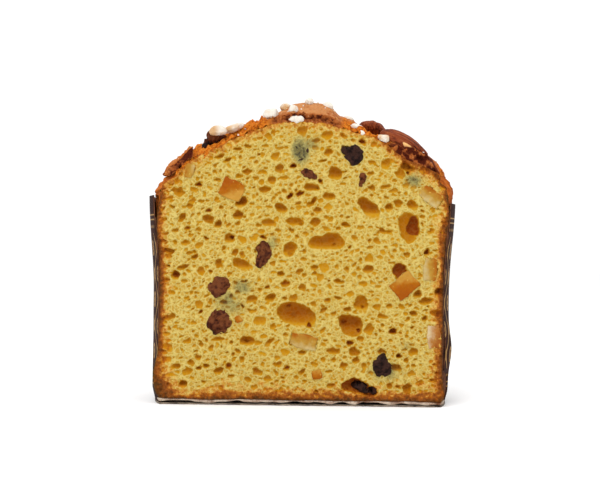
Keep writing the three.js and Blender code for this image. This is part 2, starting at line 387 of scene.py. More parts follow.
# ---- Geometry Nodes ----
class GeometryTree:
    """A Geometry Nodes tree with named inputs, which turns a mesh into a piece."""

    def __init__(self, name: str, sizes: dict[str, float | int], takes_mesh: bool = False) -> None:
        """Makes the tree and its inputs.

        Args:
            name: The name of the tree and of the piece.
            sizes: The named inputs and their values.
            takes_mesh: Whether the mesh that it is run on is an input too.
        """
        self.name = name
        self.sizes = sizes
        self.tree = bpy.data.node_groups.new(name, "GeometryNodeTree")
        if takes_mesh:
            self.socket("Mesh", "INPUT", "Geometry")
        kinds = {title: "Int" if isinstance(value, int) else "Float" for title, value in sizes.items()}
        self.keys = {title: self.socket(title, "INPUT", kind).identifier for title, kind in kinds.items()}
        self.socket("Piece", "OUTPUT", "Geometry")
        self.inputs = self.node("NodeGroupInput")

    def socket(self, title: str, way: str, kind: str) -> bpy.types.NodeTreeInterfaceSocket:
        """Adds a socket to the tree's own inputs or outputs."""
        return self.tree.interface.new_socket(title, in_out=way, socket_type="NodeSocket" + kind)

    def given(self, title: str) -> bpy.types.NodeSocket:
        """The value of a named input."""
        return self.inputs.outputs[title]

    def node(self, kind: str, settings: dict | None = None, values: dict | None = None) -> bpy.types.Node:
        """Adds a node.

        Args:
            kind: The node's type.
            settings: Its own settings, which are set first.
            values: Sockets to join or constants to set, by the input's name or number.

        Returns:
            The node.
        """
        node = self.tree.nodes.new(kind)
        for title, value in (settings or {}).items():
            setattr(node, title, value)
        for title, value in (values or {}).items():
            if isinstance(value, bpy.types.NodeSocket):
                self.tree.links.new(value, node.inputs[title])
            else:
                node.inputs[title].default_value = value
        return node

    def place(
        self, points: bpy.types.NodeSocket, mesh: bpy.types.NodeSocket, finish: bpy.types.Material, ways: dict
    ) -> None:
        """Sets a mesh on every point, and ends the tree.

        Args:
            points: Where it is set.
            mesh: What is set there.
            finish: Its material.
            ways: How each one is turned and scaled, by the input's name.
        """
        placed = self.node("GeometryNodeInstanceOnPoints", {}, {"Points": points, "Instance": mesh, **ways})
        solid = self.node("GeometryNodeRealizeInstances", {}, {0: placed.outputs[0]})
        values = {"Geometry": solid.outputs[0], "Material": finish}
        dressed = self.node("GeometryNodeSetMaterial", {}, values)
        self.node("NodeGroupOutput", {}, {0: dressed.outputs[0]})

    def run(self, mesh: bpy.types.Mesh) -> bpy.types.Object:
        """Runs the tree on a mesh.

        Args:
            mesh: The mesh, which may be empty.

        Returns:
            The piece as a plain mesh, with no modifier.
        """
        piece = linked(self.name, mesh)
        modifier = piece.modifiers.new(self.name, "NODES")
        modifier.node_group = self.tree
        for title, value in self.sizes.items():
            modifier[self.keys[title]] = value
        return evaluated(piece)


# ---- shaders as expressions ----
Value = "Signal | float | tuple"


class Signal:
    """The output of a shader node, which can stand in a sum like a number."""

    def __init__(self, look: "Look", socket: bpy.types.NodeSocket) -> None:
        """Wraps one output socket of a material's tree."""
        self.look = look
        self.socket = socket

    def _math(self, operation: str, first: Value, second: Value) -> "Signal":
        """One Math node on two values."""
        return self.look.node("ShaderNodeMath", {"operation": operation}, {0: first, 1: second})

    def __add__(self, other: Value) -> "Signal":
        """self + other."""
        return self._math("ADD", self, other)

    def __radd__(self, other: Value) -> "Signal":
        """other + self."""
        return self._math("ADD", other, self)

    def __sub__(self, other: Value) -> "Signal":
        """self - other."""
        return self._math("SUBTRACT", self, other)

    def __rsub__(self, other: Value) -> "Signal":
        """other - self."""
        return self._math("SUBTRACT", other, self)

    def __mul__(self, other: Value) -> "Signal":
        """self * other."""
        return self._math("MULTIPLY", self, other)

    def __rmul__(self, other: Value) -> "Signal":
        """other * self."""
        return self._math("MULTIPLY", other, self)

    def __truediv__(self, other: Value) -> "Signal":
        """self / other."""
        return self._math("DIVIDE", self, other)

    def above(self, low: float, high: float) -> "Signal":
        """0 under low, 1 over high, and smooth between them; low may be the larger."""
        values = {"Value": self, "From Min": low, "From Max": high}
        return self.look.node("ShaderNodeMapRange", {"interpolation_type": "SMOOTHSTEP"}, values)

    def size(self) -> "Signal":
        """The signal without its sign."""
        return self._math("ABSOLUTE", self, 0.0)

    def greatest(self, other: Value) -> "Signal":
        """The greater of the two."""
        return self._math("MAXIMUM", self, other)

    def fold(self, pitch: float) -> "Signal":
        """The distance to the nearest whole number of pitches."""
        return self._math("PINGPONG", self, pitch / 2)

    def wave(self, period: float) -> "Signal":
        """The cosine of the signal, which comes back after a period."""
        return self._math("COSINE", self * (2 * math.pi / period), 0.0)

    def root(self) -> "Signal":
        """The signal's square root."""
        return self._math("POWER", self, 0.5)


def tint(red: int, green: int, blue: int) -> tuple[float, float, float, float]:
    """A colour from its screen values of 0 to 255, as the light values that shaders take."""
    light = [c / 3294.6 if c <= 10 else ((c / 255 + 0.055) / 1.055) ** 2.4 for c in (red, green, blue)]
    return (*light, 1.0)


class Look:
    """A material's node tree, built by expressions."""

    def __init__(self, name: str, **fixed: float | tuple) -> None:
        """Makes the material with one surface shader.

        Args:
            name: The material's name.
            fixed: Values for the surface shader's sockets, with _ for each space in a socket's name.
        """
        self.material = bpy.data.materials.new(name)
        self.material.use_nodes = True
        self.tree = self.material.node_tree
        self.shader = self.tree.nodes["Principled BSDF"]
        for title, value in fixed.items():
            self.shader.inputs[title.replace("_", " ")].default_value = value

    def node(self, kind: str, settings: dict, values: dict, out: int | str = 0) -> Signal:
        """Adds a node.

        Args:
            kind: The node's type.
            settings: Its own settings, or "stops" for a ramp: places and colours.
            values: What goes into its sockets, by name or number: signals or constants.
            out: The output that is wanted.

        Returns:
            That output.
        """
        node = self.tree.nodes.new(kind)
        for title, value in settings.items():
            if title == "stops":
                ramp = node.color_ramp.elements
                while len(ramp) < len(value):
                    ramp.new(0.5)
                for element, (place, colour) in zip(ramp, value):
                    element.position = place
                    element.color = colour
            else:
                setattr(node, title, value)
        for title, value in values.items():
            if isinstance(value, Signal):
                self.tree.links.new(value.socket, node.inputs[title])
            else:
                node.inputs[title].default_value = value
        return Signal(self, node.outputs[out])

    def place(self) -> Signal:
        """The piece's own coordinates, in metres."""
        return self.node("ShaderNodeTexCoord", {}, {}, "Object")

    def stored(self, title: str, vector: bool = False) -> Signal:
        """A value that is stored on the piece's points."""
        return self.node("ShaderNodeAttribute", {"attribute_name": title}, {}, "Vector" if vector else "Fac")

    def grain(
        self, size: float, detail: float = 3.0, rough: float = 0.5, where: Signal | None = None
    ) -> Signal:
        """Cloudy noise from 0 to 1 with features of about size millimetres."""
        values = {"Vector": where or self.place(), "Scale": 1 / (size * MM)}
        return self.node("ShaderNodeTexNoise", {}, {**values, "Detail": detail, "Roughness": rough}, "Fac")

    def bent(self, size: float, amount: float) -> Signal:
        """The piece's coordinates, pushed about by noise of size and by up to amount millimetres.

        Args:
            size: How large the noise's features are.
            amount: The largest push.

        Returns:
            The moved coordinates.
        """
        values = {"Vector": self.place(), "Scale": 1 / (size * MM)}
        push = self.node("ShaderNodeTexNoise", {}, values, "Color")
        half = (0.5 * amount * MM,) * 3
        kind = "ShaderNodeVectorMath"
        centred = self.node(kind, {"operation": "SCALE"}, {0: push, "Scale": 2 * amount * MM})
        moved = self.node(kind, {"operation": "ADD"}, {0: self.place(), 1: centred})
        return self.node(kind, {"operation": "SUBTRACT"}, {0: moved, 1: half})

    def cells(self, size: float, feature: str = "F1", where: Signal | None = None) -> Signal:
        """The distance to the nearest of scattered points, or cell edges, about size millimetres apart."""
        values = {"Vector": where or self.place(), "Scale": 1 / (size * MM)}
        return self.node("ShaderNodeTexVoronoi", {"feature": feature}, values, "Distance")

    def mix(self, share: Value, first: Value, second: Value, blend: str = "MIX") -> Signal:
        """A colour between two colours."""
        settings = {"data_type": "RGBA", "blend_type": blend}
        return self.node("ShaderNodeMix", settings, {0: share, 6: first, 7: second}, 2)

    def ramp(self, share: Value, *stops: tuple[float, tuple]) -> Signal:
        """A colour read off a ramp of places and colours."""
        return self.node("ShaderNodeValToRGB", {"stops": stops}, {"Fac": share}, "Color")

    def bump(self, height: Value, depth: float) -> Signal:
        """A normal that stands for relief of depth millimetres."""
        values = {"Height": height, "Distance": depth * MM, "Strength": 1.0}
        return self.node("ShaderNodeBump", {}, values, "Normal")

    def finish(self, **signals: Signal) -> bpy.types.Material:
        """Joins signals to the surface shader's sockets and returns the material.

        Args:
            signals: Signals by socket name, with _ for each space.

        Returns:
            The material.
        """
        for title, signal in signals.items():
            self.tree.links.new(signal.socket, self.shader.inputs[title.replace("_", " ")])
        return self.material


# ---- finishes ----
@dataclass(frozen=True)
class CrumbFinish:
    """Egg-yellow crumb on the cut: a pale web of cell walls, pores darkened with depth as painted shade,
    browned towards the crust.
    """

    matrix: tuple = tint(174, 137, 42)
    pale: tuple = tint(199, 178, 102)
    hollow: tuple = tint(170, 121, 18)
    shallow: tuple = tint(178, 127, 12)
    amber: tuple = tint(160, 100, 1)
    deep: tuple = tint(146, 76, 0)
    dark: tuple = tint(130, 56, 2)
    orange: tuple = tint(206, 126, 20)
    toasted: tuple = tint(140, 68, 16)
    burnt: tuple = tint(66, 24, 6)
    stained: tuple = tint(116, 114, 72)
    inked: tuple = tint(40, 38, 36)

    def material(self) -> bpy.types.Material:
        """Builds the crumb's material from the values that the loaf stores on its points; deeper pores and
        pits get darker, more orange colours, which is painted shade.

        Returns:
            The material.
        """
        look = Look(
            "crumb", Specular_IOR_Level=0.05, Subsurface_Weight=0.12,
            Subsurface_Radius=(1.0, 0.55, 0.15), Subsurface_Scale=0.0014,
        )
        pore, tone = look.stored("pore"), look.stored("tone")
        inside = pore.above(0.015, 0.08)
        fine = look.grain(1.1, 4, 0.6)
        patch = look.grain(5, 3)
        bent = look.bent(1.6, 0.7)
        web = look.cells(2.1, "DISTANCE_TO_EDGE", bent)
        mesh = look.cells(1.0, "DISTANCE_TO_EDGE", bent)
        width = look.grain(2.5, 2) * 0.22
        strand = (1 - (web - width + 0.03).above(0, 0.07)) * 0.9 + mesh.above(0.12, 0.02) * 0.3
        # pit: a darker hollow colour in the cells between the walls, painted shade for small pits that the
        # mesh does not have.
        pit = web.above(0.1, 0.3) * (patch.above(0.34, 0.6) * 0.8 + 0.2)
        body = look.mix(pit * 0.85 + fine.above(0.5, 0.3) * 0.3, self.matrix, self.hollow)
        body = look.mix(strand.greatest(look.stored("wall") * 0.8) * 0.9, body, self.pale)
        level = pore + (fine - 0.5) * 0.07 * inside
        # The colour darkens from matrix through shallow, amber and deep as a pore gets deeper: painted shade
        # in the pores.
        depths = ((0.015, self.matrix), (0.07, self.shallow), (0.24, self.amber), (0.75, self.deep))
        bottom = look.ramp(level, *depths)
        # Deep pores with a high tone go on to the dark colour: painted shade in deep holes, with a random
        # share for each pore.
        bottom = look.mix(tone.above(0.78, 0.95) * pore.above(0.12, 0.35), bottom, self.dark)
        colour = look.mix(inside, body, look.mix(strand * 0.06, bottom, self.pale))
        bake = look.stored("bake")
        baked = bake + (look.grain(2.2, 4, 0.7) - 0.5) * 1.35 * bake.above(0.02, 0.3)
        crusty = look.ramp(baked, (0.25, self.orange), (0.6, self.toasted), (0.95, self.burnt))
        browned = baked.above(0.1, 0.55) * 0.94
        # In the baked band, pores and pits go towards burnt: painted shade in the hollows on top of the real
        # browning.
        colour = look.mix(browned, colour, look.mix(pore.above(0, 0.5) * 0.5 + pit * 0.4, crusty, self.burnt))
        stain = look.stored("stain") * (0.3 + look.grain(1.3, 4, 0.7) * 1.4)
        # Inside a stain the pores go towards the inked colour: the juice's own stain, and painted shade in
        # the hollows.
        inky = pore.above(0.03, 0.2) * 0.85 + fine.above(0.5, 0.3) * 0.4
        stained = look.mix(inky, self.stained, self.inked)
        colour = look.mix(stain.above(0.1, 0.75) * (0.82 - strand * 0.15), colour, stained)
        colour = look.mix(stain.above(0.65, 1.1) * (0.35 + fine.above(0.6, 0.35) * 0.5), colour, self.inked)
        height = (fine * 0.3 + look.grain(0.4, 3) * 0.2 + strand * 0.6 - pit * 0.15) * (1 - inside * 0.8)
        return look.finish(Base_Color=colour, Roughness=0.62 + fine * 0.3, Normal=look.bump(height, 0.3))


@dataclass(frozen=True)
class CrustFinish:
    """Matte baked skin of the loaf, mottled from orange-brown to dark brown."""

    light: tuple = tint(206, 120, 34)
    brown: tuple = tint(154, 76, 20)
    dark: tuple = tint(84, 36, 14)

    def material(self) -> bpy.types.Material:
        """Builds the crust's material.

        Returns:
            The material.
        """
        look = Look("crust", Specular_IOR_Level=0.03)
        cloud = look.grain(9, 5, 0.6)
        speck = look.grain(1.4, 4, 0.7)
        stops = ((0.34, self.light), (0.52, self.brown), (0.74, self.dark))
        colour = look.ramp(cloud * 0.65 + speck * 0.4, *stops)
        height = speck * 0.6 + look.cells(1.8) * 0.5
        return look.finish(Base_Color=colour, Roughness=0.55 + speck * 0.35, Normal=look.bump(height, 0.4))


@dataclass(frozen=True)
class GlazeFinish:
    """Brittle nut and sugar glaze: tan and granular, red-brown where it is burnt, and darker in cracks, seams
    and low spots as painted shade.
    """

    tan: tuple = tint(184, 124, 74)
    brown: tuple = tint(156, 84, 36)
    red_brown: tuple = tint(76, 26, 10)
    dust: tuple = tint(206, 152, 104)
    film: tuple = tint(190, 100, 18)
    crusty: tuple = tint(112, 48, 8)
    bright: tuple = tint(210, 134, 44)

    def material(self) -> bpy.types.Material:
        """Builds the glaze's material from its stored relief, its burning with painted shade, and its
        thickness; low relief is painted darker.

        Returns:
            The material.
        """
        look = Look("almond_glaze", Specular_IOR_Level=0.06, Subsurface_Weight=0.08, Subsurface_Scale=0.001)
        relief = look.stored("relief")
        burn = look.stored("burn")
        cloud = look.grain(5.5, 4, 0.6)
        speck = look.grain(0.9, 4, 0.7)
        # Burning plus painted shade: the stored value and low relief both push the colour towards red-brown.
        tone = burn * 0.9 + (0.5 - relief) * 0.7 + (cloud - 0.5) * 0.8 + (speck - 0.5) * 1.2 + 0.32
        colour = look.ramp(tone, (0.1, self.tan), (0.48, self.brown), (0.88, self.red_brown))
        dusted = look.cells(1.5).above(0.3, 0.16) * look.grain(7, 2).above(0.5, 0.66) * (1 - burn)
        colour = look.mix(dusted * 0.6, colour, self.dust)
        stops = ((0.42, self.crusty), (0.54, self.film), (0.68, self.bright))
        film = look.ramp(speck * 0.7 + cloud * 0.4, *stops)
        colour = look.mix(look.stored("film") * (1 - burn.above(0.35, 0.8) * 0.9), colour, film)
        pitted = look.cells(1.15).above(0.26, 0.1)
        height = speck * 0.9 + look.grain(2.4, 3) * 0.7 - pitted * 0.6 + dusted * 0.4
        return look.finish(Base_Color=colour, Roughness=0.5 + speck * 0.4, Normal=look.bump(height, 0.6))


@dataclass(frozen=True)
class AlmondFinish:
    """Almond skin: red-brown, with furrows along the nut darkened as painted shade, paler ridges that are
    partly a painted highlight, and a pale chip.
    """

    skin: tuple = tint(118, 50, 22)
    furrow: tuple = tint(52, 17, 6)
    ridge_bloom_and_highlight: tuple = tint(150, 84, 46)
    flesh: tuple = tint(226, 176, 112)

    def material(self) -> bpy.types.Material:
        """Builds the almonds' material; its furrows run along the stored skin coordinates.

        Returns:
            The material.
        """
        look = Look("almond_skin", Specular_IOR_Level=0.08)
        along = look.stored("skin", vector=True)
        streak = look.grain(0.9, 4, 0.65, along)
        broad = look.grain(2.6, 3, 0.5, along)
        # The noise that sinks the furrows also darkens them (painted shade) and pales the ridges (partly the
        # skin's dusty bloom, partly a painted highlight).
        stops = ((0.38, self.furrow), (0.5, self.skin), (0.66, self.ridge_bloom_and_highlight))
        colour = look.ramp(streak * 0.65 + broad * 0.35, *stops)
        chip = look.stored("chip") + (look.grain(1.2, 3) - 0.5) * 0.5
        colour = look.mix(chip.above(0.5, 0.62), colour, self.flesh)
        height = streak * 0.8 + look.grain(0.5, 2) * 0.2
        return look.finish(Base_Color=colour, Roughness=0.5 + broad * 0.25, Normal=look.bump(height, 0.3))


@dataclass(frozen=True)
class SugarFinish:
    """White pressed sugar, a little toasted here and there."""

    white: tuple = tint(214, 206, 194)
    toasted: tuple = tint(184, 130, 44)

    def material(self) -> bpy.types.Material:
        """Builds the sugar's material.

        Returns:
            The material.
        """
        look = Look(
            "pearl_sugar", Specular_IOR_Level=0.2, Subsurface_Weight=0.3,
            Subsurface_Radius=(1.0, 0.9, 0.8), Subsurface_Scale=0.0012,
        )
        warm = look.grain(6, 2).above(0.52, 0.72).greatest(look.stored("toast"))
        colour = look.mix(warm * 0.75, self.white, self.toasted)
        height = look.grain(0.7, 4, 0.6) + look.cells(0.9) * 0.5
        rough = 0.4 + look.grain(1, 2) * 0.3
        return look.finish(Base_Color=colour, Roughness=rough, Normal=look.bump(height, 0.25))


@dataclass(frozen=True)
class RaisinFinish:
    """Raisins: satin, wrinkled, from purple-brown to near black, with painted shade in the folds and a
    painted highlight on the ridges.
    """

    name: str
    flesh: tuple
    dark: tuple
    rim: tuple
    crumbs: tuple = tint(186, 146, 64)

    def material(self) -> bpy.types.Material:
        """Builds a raisin material from the stored wrinkle height: low folds get the dark colour as painted
        shade, high ridges the rim colour as a painted highlight.

        Returns:
            The material.
        """
        look = Look(self.name, Specular_IOR_Level=0.1)
        wrinkle = look.stored("wrinkle")
        speck = look.grain(0.7, 4, 0.65)
        # Dark in the low folds is painted shade; the rim colour on the high ridges is a painted highlight.
        stops = ((0.15, self.dark), (0.5, self.flesh), (0.85, self.rim))
        colour = look.ramp(wrinkle * 0.9 + speck * 0.6 - 0.3, *stops)
        colour = look.mix(look.stored("crumbs").above(0.4, 0.7) * 0.85, colour, self.crumbs)
        height = speck + look.cells(0.8) * 0.4
        return look.finish(Base_Color=colour, Roughness=0.28 + speck * 0.35, Normal=look.bump(height, 0.5))


@dataclass(frozen=True)
class CandiedFinish:
    """Candied peel: glossy and translucent, paler towards the pith side."""

    name: str
    rind: tuple
    pulp: tuple
    pith: tuple
    crumbs: tuple = tint(190, 152, 68)

    def material(self) -> bpy.types.Material:
        """Builds a candied fruit material from the stored rind-to-pith share.

        Returns:
            The material.
        """
        look = Look(
            self.name, Specular_IOR_Level=0.08, Subsurface_Weight=0.12,
            Subsurface_Radius=(1.0, 0.6, 0.2), Subsurface_Scale=0.0015,
        )
        share = look.stored("pith") + (look.grain(2.6, 3) - 0.5) * 0.8
        colour = look.ramp(share, (0.12, self.rind), (0.5, self.pulp), (0.85, self.pith))
        colour = look.mix(look.stored("crumbs").above(0.4, 0.7) * 0.8, colour, self.crumbs)
        height = look.grain(1.6, 3)
        rough = 0.22 + look.grain(2, 2) * 0.25
        return look.finish(Base_Color=colour, Roughness=rough, Normal=look.bump(height, 0.35))


@dataclass(frozen=True)
class PrintedPaperFinish:
    """Dark brown mould paper with a gold trellis, two lines and rows of dots."""

    brown: tuple = tint(42, 18, 11)
    worn: tuple = tint(66, 30, 19)
    gold: tuple = tint(150, 114, 62)
    motif_width: float = 15.0
    motif_height: float = 22.0
    field_low: float = 16.0
    field_high: float = 72.0
    lines: tuple = (8.0, 10.0, 78.0, 80.0)
    line_width: float = 0.45
    low_dots: float = 13.0
    high_dots: float = 75.0
    dot_pitch: float = 3.2

    def material(self) -> bpy.types.Material:
        """Builds the print from the stored distances round the wall and up it, in millimetres.

        Returns:
            The material.
        """
        look = Look("printed_paper", Specular_IOR_Level=0.03)
        around, up = look.stored("around"), look.stored("up")
        trellis = (around.wave(self.motif_width) + up.wave(self.motif_height)).size()
        inside = up.above(self.field_low, self.field_low + 0.3)
        inside = inside * up.above(self.field_high + 0.3, self.field_high)
        rings = trellis.above(1.5, 1.62) * trellis.above(1.86, 1.8) + trellis.above(1.93, 1.96)
        lattice = trellis.above(0.2, 0.1) + rings
        lines = 0.0
        for level in self.lines:
            lines = (up - level).size().above(self.line_width * 0.7, self.line_width * 0.4) + lines
        dot_up = (up - self.low_dots).size() * up.above(20, 19)
        dot_up = dot_up + (up - self.high_dots).size() * up.above(19, 20)
        half_pitch = self.dot_pitch / 2
        dot = half_pitch - (around.fold(self.dot_pitch) - half_pitch).size()
        from_dot = (dot * dot + dot_up * dot_up).root()
        gold = (lattice * inside + lines + from_dot.above(0.75, 0.6)).above(0.2, 0.6)
        wear = look.grain(1.1, 3, 0.6)
        gold = gold * wear.above(0.28, 0.42)
        colour = look.mix(look.grain(7, 3).above(0.45, 0.75) * 0.6, self.brown, self.worn)
        colour = look.mix(gold, colour, self.gold)
        height = look.grain(0.6, 3) * 0.4 + look.grain(6, 2) * 0.6
        metal, rough = gold * 0.2, 0.62 - gold * 0.15
        normal = look.bump(height, 0.25)
        return look.finish(Base_Color=colour, Metallic=metal, Roughness=rough, Normal=normal)


@dataclass(frozen=True)
class PlainPaperFinish:
    """Unprinted paper: fibrous, pale or grease-browned."""

    name: str
    pale: tuple
    dark: tuple

    def material(self) -> bpy.types.Material:
        """Builds plain paper.

        Returns:
            The material.
        """
        look = Look(self.name, Specular_IOR_Level=0.25)
        cloud = look.grain(5, 4, 0.6)
        fibre = look.grain(0.5, 4, 0.7)
        colour = look.mix((cloud * 0.7 + fibre * 0.5).above(0.42, 0.78), self.pale, self.dark)
        rough = 0.75 + fibre * 0.2
        return look.finish(Base_Color=colour, Roughness=rough, Normal=look.bump(fibre + cloud * 0.5, 0.15))


# ---- the dome's form, shared by the loaf, the glaze and what lies on them ----
@dataclass(frozen=True)
class Form:
    """The round mould, the cut and the risen dome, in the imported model's measures."""

    rim_radius: float
    foot_radius: float
    rim_height: float
    cut: float
    loaf_floor: float
    paper: float = 0.8
    gap: float = 0.35
    flare_start: float = 48.0
    rise: float = 35.5
    power: float = 1.55
    lean: float = 4.4
    blister_height: float = 4.6

    @classmethod
    def from_frame(cls) -> "Form":
        """Reads the form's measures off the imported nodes.

        Returns:
            The form.
        """
        wall_low, wall_high = box_mm("mould_wall")
        base_high = box_mm("mould_base")[1]
        foot = base_high[0] + cls.paper + cls.gap
        return cls(wall_high[0], foot, wall_high[2], -wall_low[1], box_mm("loaf")[0][2])

    def behind(self, y: Array, low: float, high: float) -> Array:
        """A smooth step from 0 to 1 between two distances behind the cut; low may be the larger."""
        return smooth_step(y, low - self.cut, high - self.cut)

    @property
    def dome_radius(self) -> float:
        """The loaf's radius at the rim."""
        return self.rim_radius - self.paper - self.gap

    def wall_radius(self, height: Array) -> Array:
        """The outside radius of the paper wall at a height."""
        share = smooth_step(height, self.flare_start, self.rim_height)
        return self.foot_radius + (self.rim_radius - self.foot_radius) * share

    def loaf_radius(self, height: Array) -> Array:
        """The loaf's radius inside the wall at a height."""
        return self.wall_radius(height) - self.paper - self.gap

    def dome(self, x: Array, y: Array) -> Array:
        """The height of the loaf's dome over a point of the plan.

        Args:
            x: Places across.
            y: Places back.

        Returns:
            Heights.
        """
        out = np.minimum(np.hypot(x, y) / self.dome_radius, 1)
        share = (1 - out**self.power) ** (1 / self.power)
        swell = self.lean * (x / self.dome_radius) ** 3
        swell = swell + 0.7 * np.sin(x / 10 + 0.6) * np.cos(y / 12) + 0.4 * np.sin((x + 2 * y) / 17)
        return self.rim_height + self.rise * share + swell * np.minimum(1, 3 * share) - self.dip(x, y)

    def dip(self, x: Array, y: Array) -> Array:
        """How far the dome sags along the cut, on the left and under the front almond.

        Args:
            x: Places across.
            y: Places back.

        Returns:
            Depths.
        """
        left = 1.5 * np.exp(-(((x + 32) / 15) ** 4))
        right = 2.7 * np.exp(-(((x - 43) / 8) ** 2))
        hollow = 4.0 * np.exp(-(((x - 31) / 7) ** 4)) * self.behind(y, 1.5, 9.0)
        hollow = hollow * self.behind(y, 34.0, 24.0)
        return (left + right) * self.behind(y, 12.0, 5.0) + hollow

    def blister(self, x: Array, y: Array) -> Array:
        """How far the glaze is puffed up in its middle, as a pillow with steep sides."""
        steep = np.where(x > 0, np.abs(x / 14.2) ** 9, np.abs(x / 11.5) ** 2.6)
        return self.blister_height * np.exp(-steep - ((y + 11) / 12) ** 2)

    def cover(self, x: Array, y: Array) -> Array:
        """How thick the glaze is, as a share: along the cut much of it is a film.

        Args:
            x: Places across.
            y: Places back.

        Returns:
            Shares from 0 to 1.
        """
        left = smooth_step(x, -12.0, -18.0)
        right = smooth_step(x, 15.0, 20.0) * smooth_step(x, 42.0, 34.0)
        return 1 - 0.9 * (left + 0.8 * right) * self.behind(y, 8.0, 2.5)

    def shoulder(self, x: Array, y: Array) -> Array:
        """How far the glaze is a thick chunk on the right shoulder, from 0 to 1."""
        return np.exp(-(((x - 50) / 9) ** 2)) * self.behind(y, 8.0, 2.0)

    def film(self, x: Array, y: Array) -> Array:
        """How far the glaze is a film that the crust's colour shows through, from 0 to 1.

        Args:
            x: Places across.
            y: Places back.

        Returns:
            Shares from 0 to 1.
        """
        left = smooth_step(x, -12.0, -17.0) * self.behind(y, 32.0, 22.0)
        right = smooth_step(x, 15.0, 18.0) * smooth_step(x, 40.0, 34.0) * self.behind(y, 14.0, 5.0)
        outer = smooth_step(x, 55.0, 59.0) * self.behind(y, 32.0, 22.0)
        return left + right + outer

    def underside(self, x: Array, y: Array) -> Array:
        """The height of the loaf's underside, which baking drew up unevenly."""
        return self.loaf_floor - 0.1 + 1.1 * noise(spots(x, y, 0.0), 17.0, 4, 2)

    def ray(self, heading: Array, radius: Array, front: float) -> Array:
        """How far a level ray goes from the middle of the cut to a circle about the axis.

        Args:
            heading: The ray's direction, 0 along +X and a half turn along -X.
            radius: The circle's radius.
            front: How far the cut stands in front of the axis.

        Returns:
            The ray's length.
        """
        back = front * np.sin(heading)
        return back + np.sqrt(back**2 + radius**2 - front**2)


# ---- pores ----
@dataclass(frozen=True)
class Pore:
    """One gas cell that the knife opened: its place on the cut, half sizes, lean in degrees and depth."""

    across: float
    up: float
    half_width: float
    half_height: float
    depth: float
    lean: float = 0.0
    tone: float = 0.5
    ragged: float = 0.12
    ramp: float = 0.88


@dataclass(frozen=True)
class Stain:
    """Juice that a raisin left in the crumb: its place, spread and strength."""

    across: float
    up: float
    spread_across: float
    spread_up: float
    strength: float


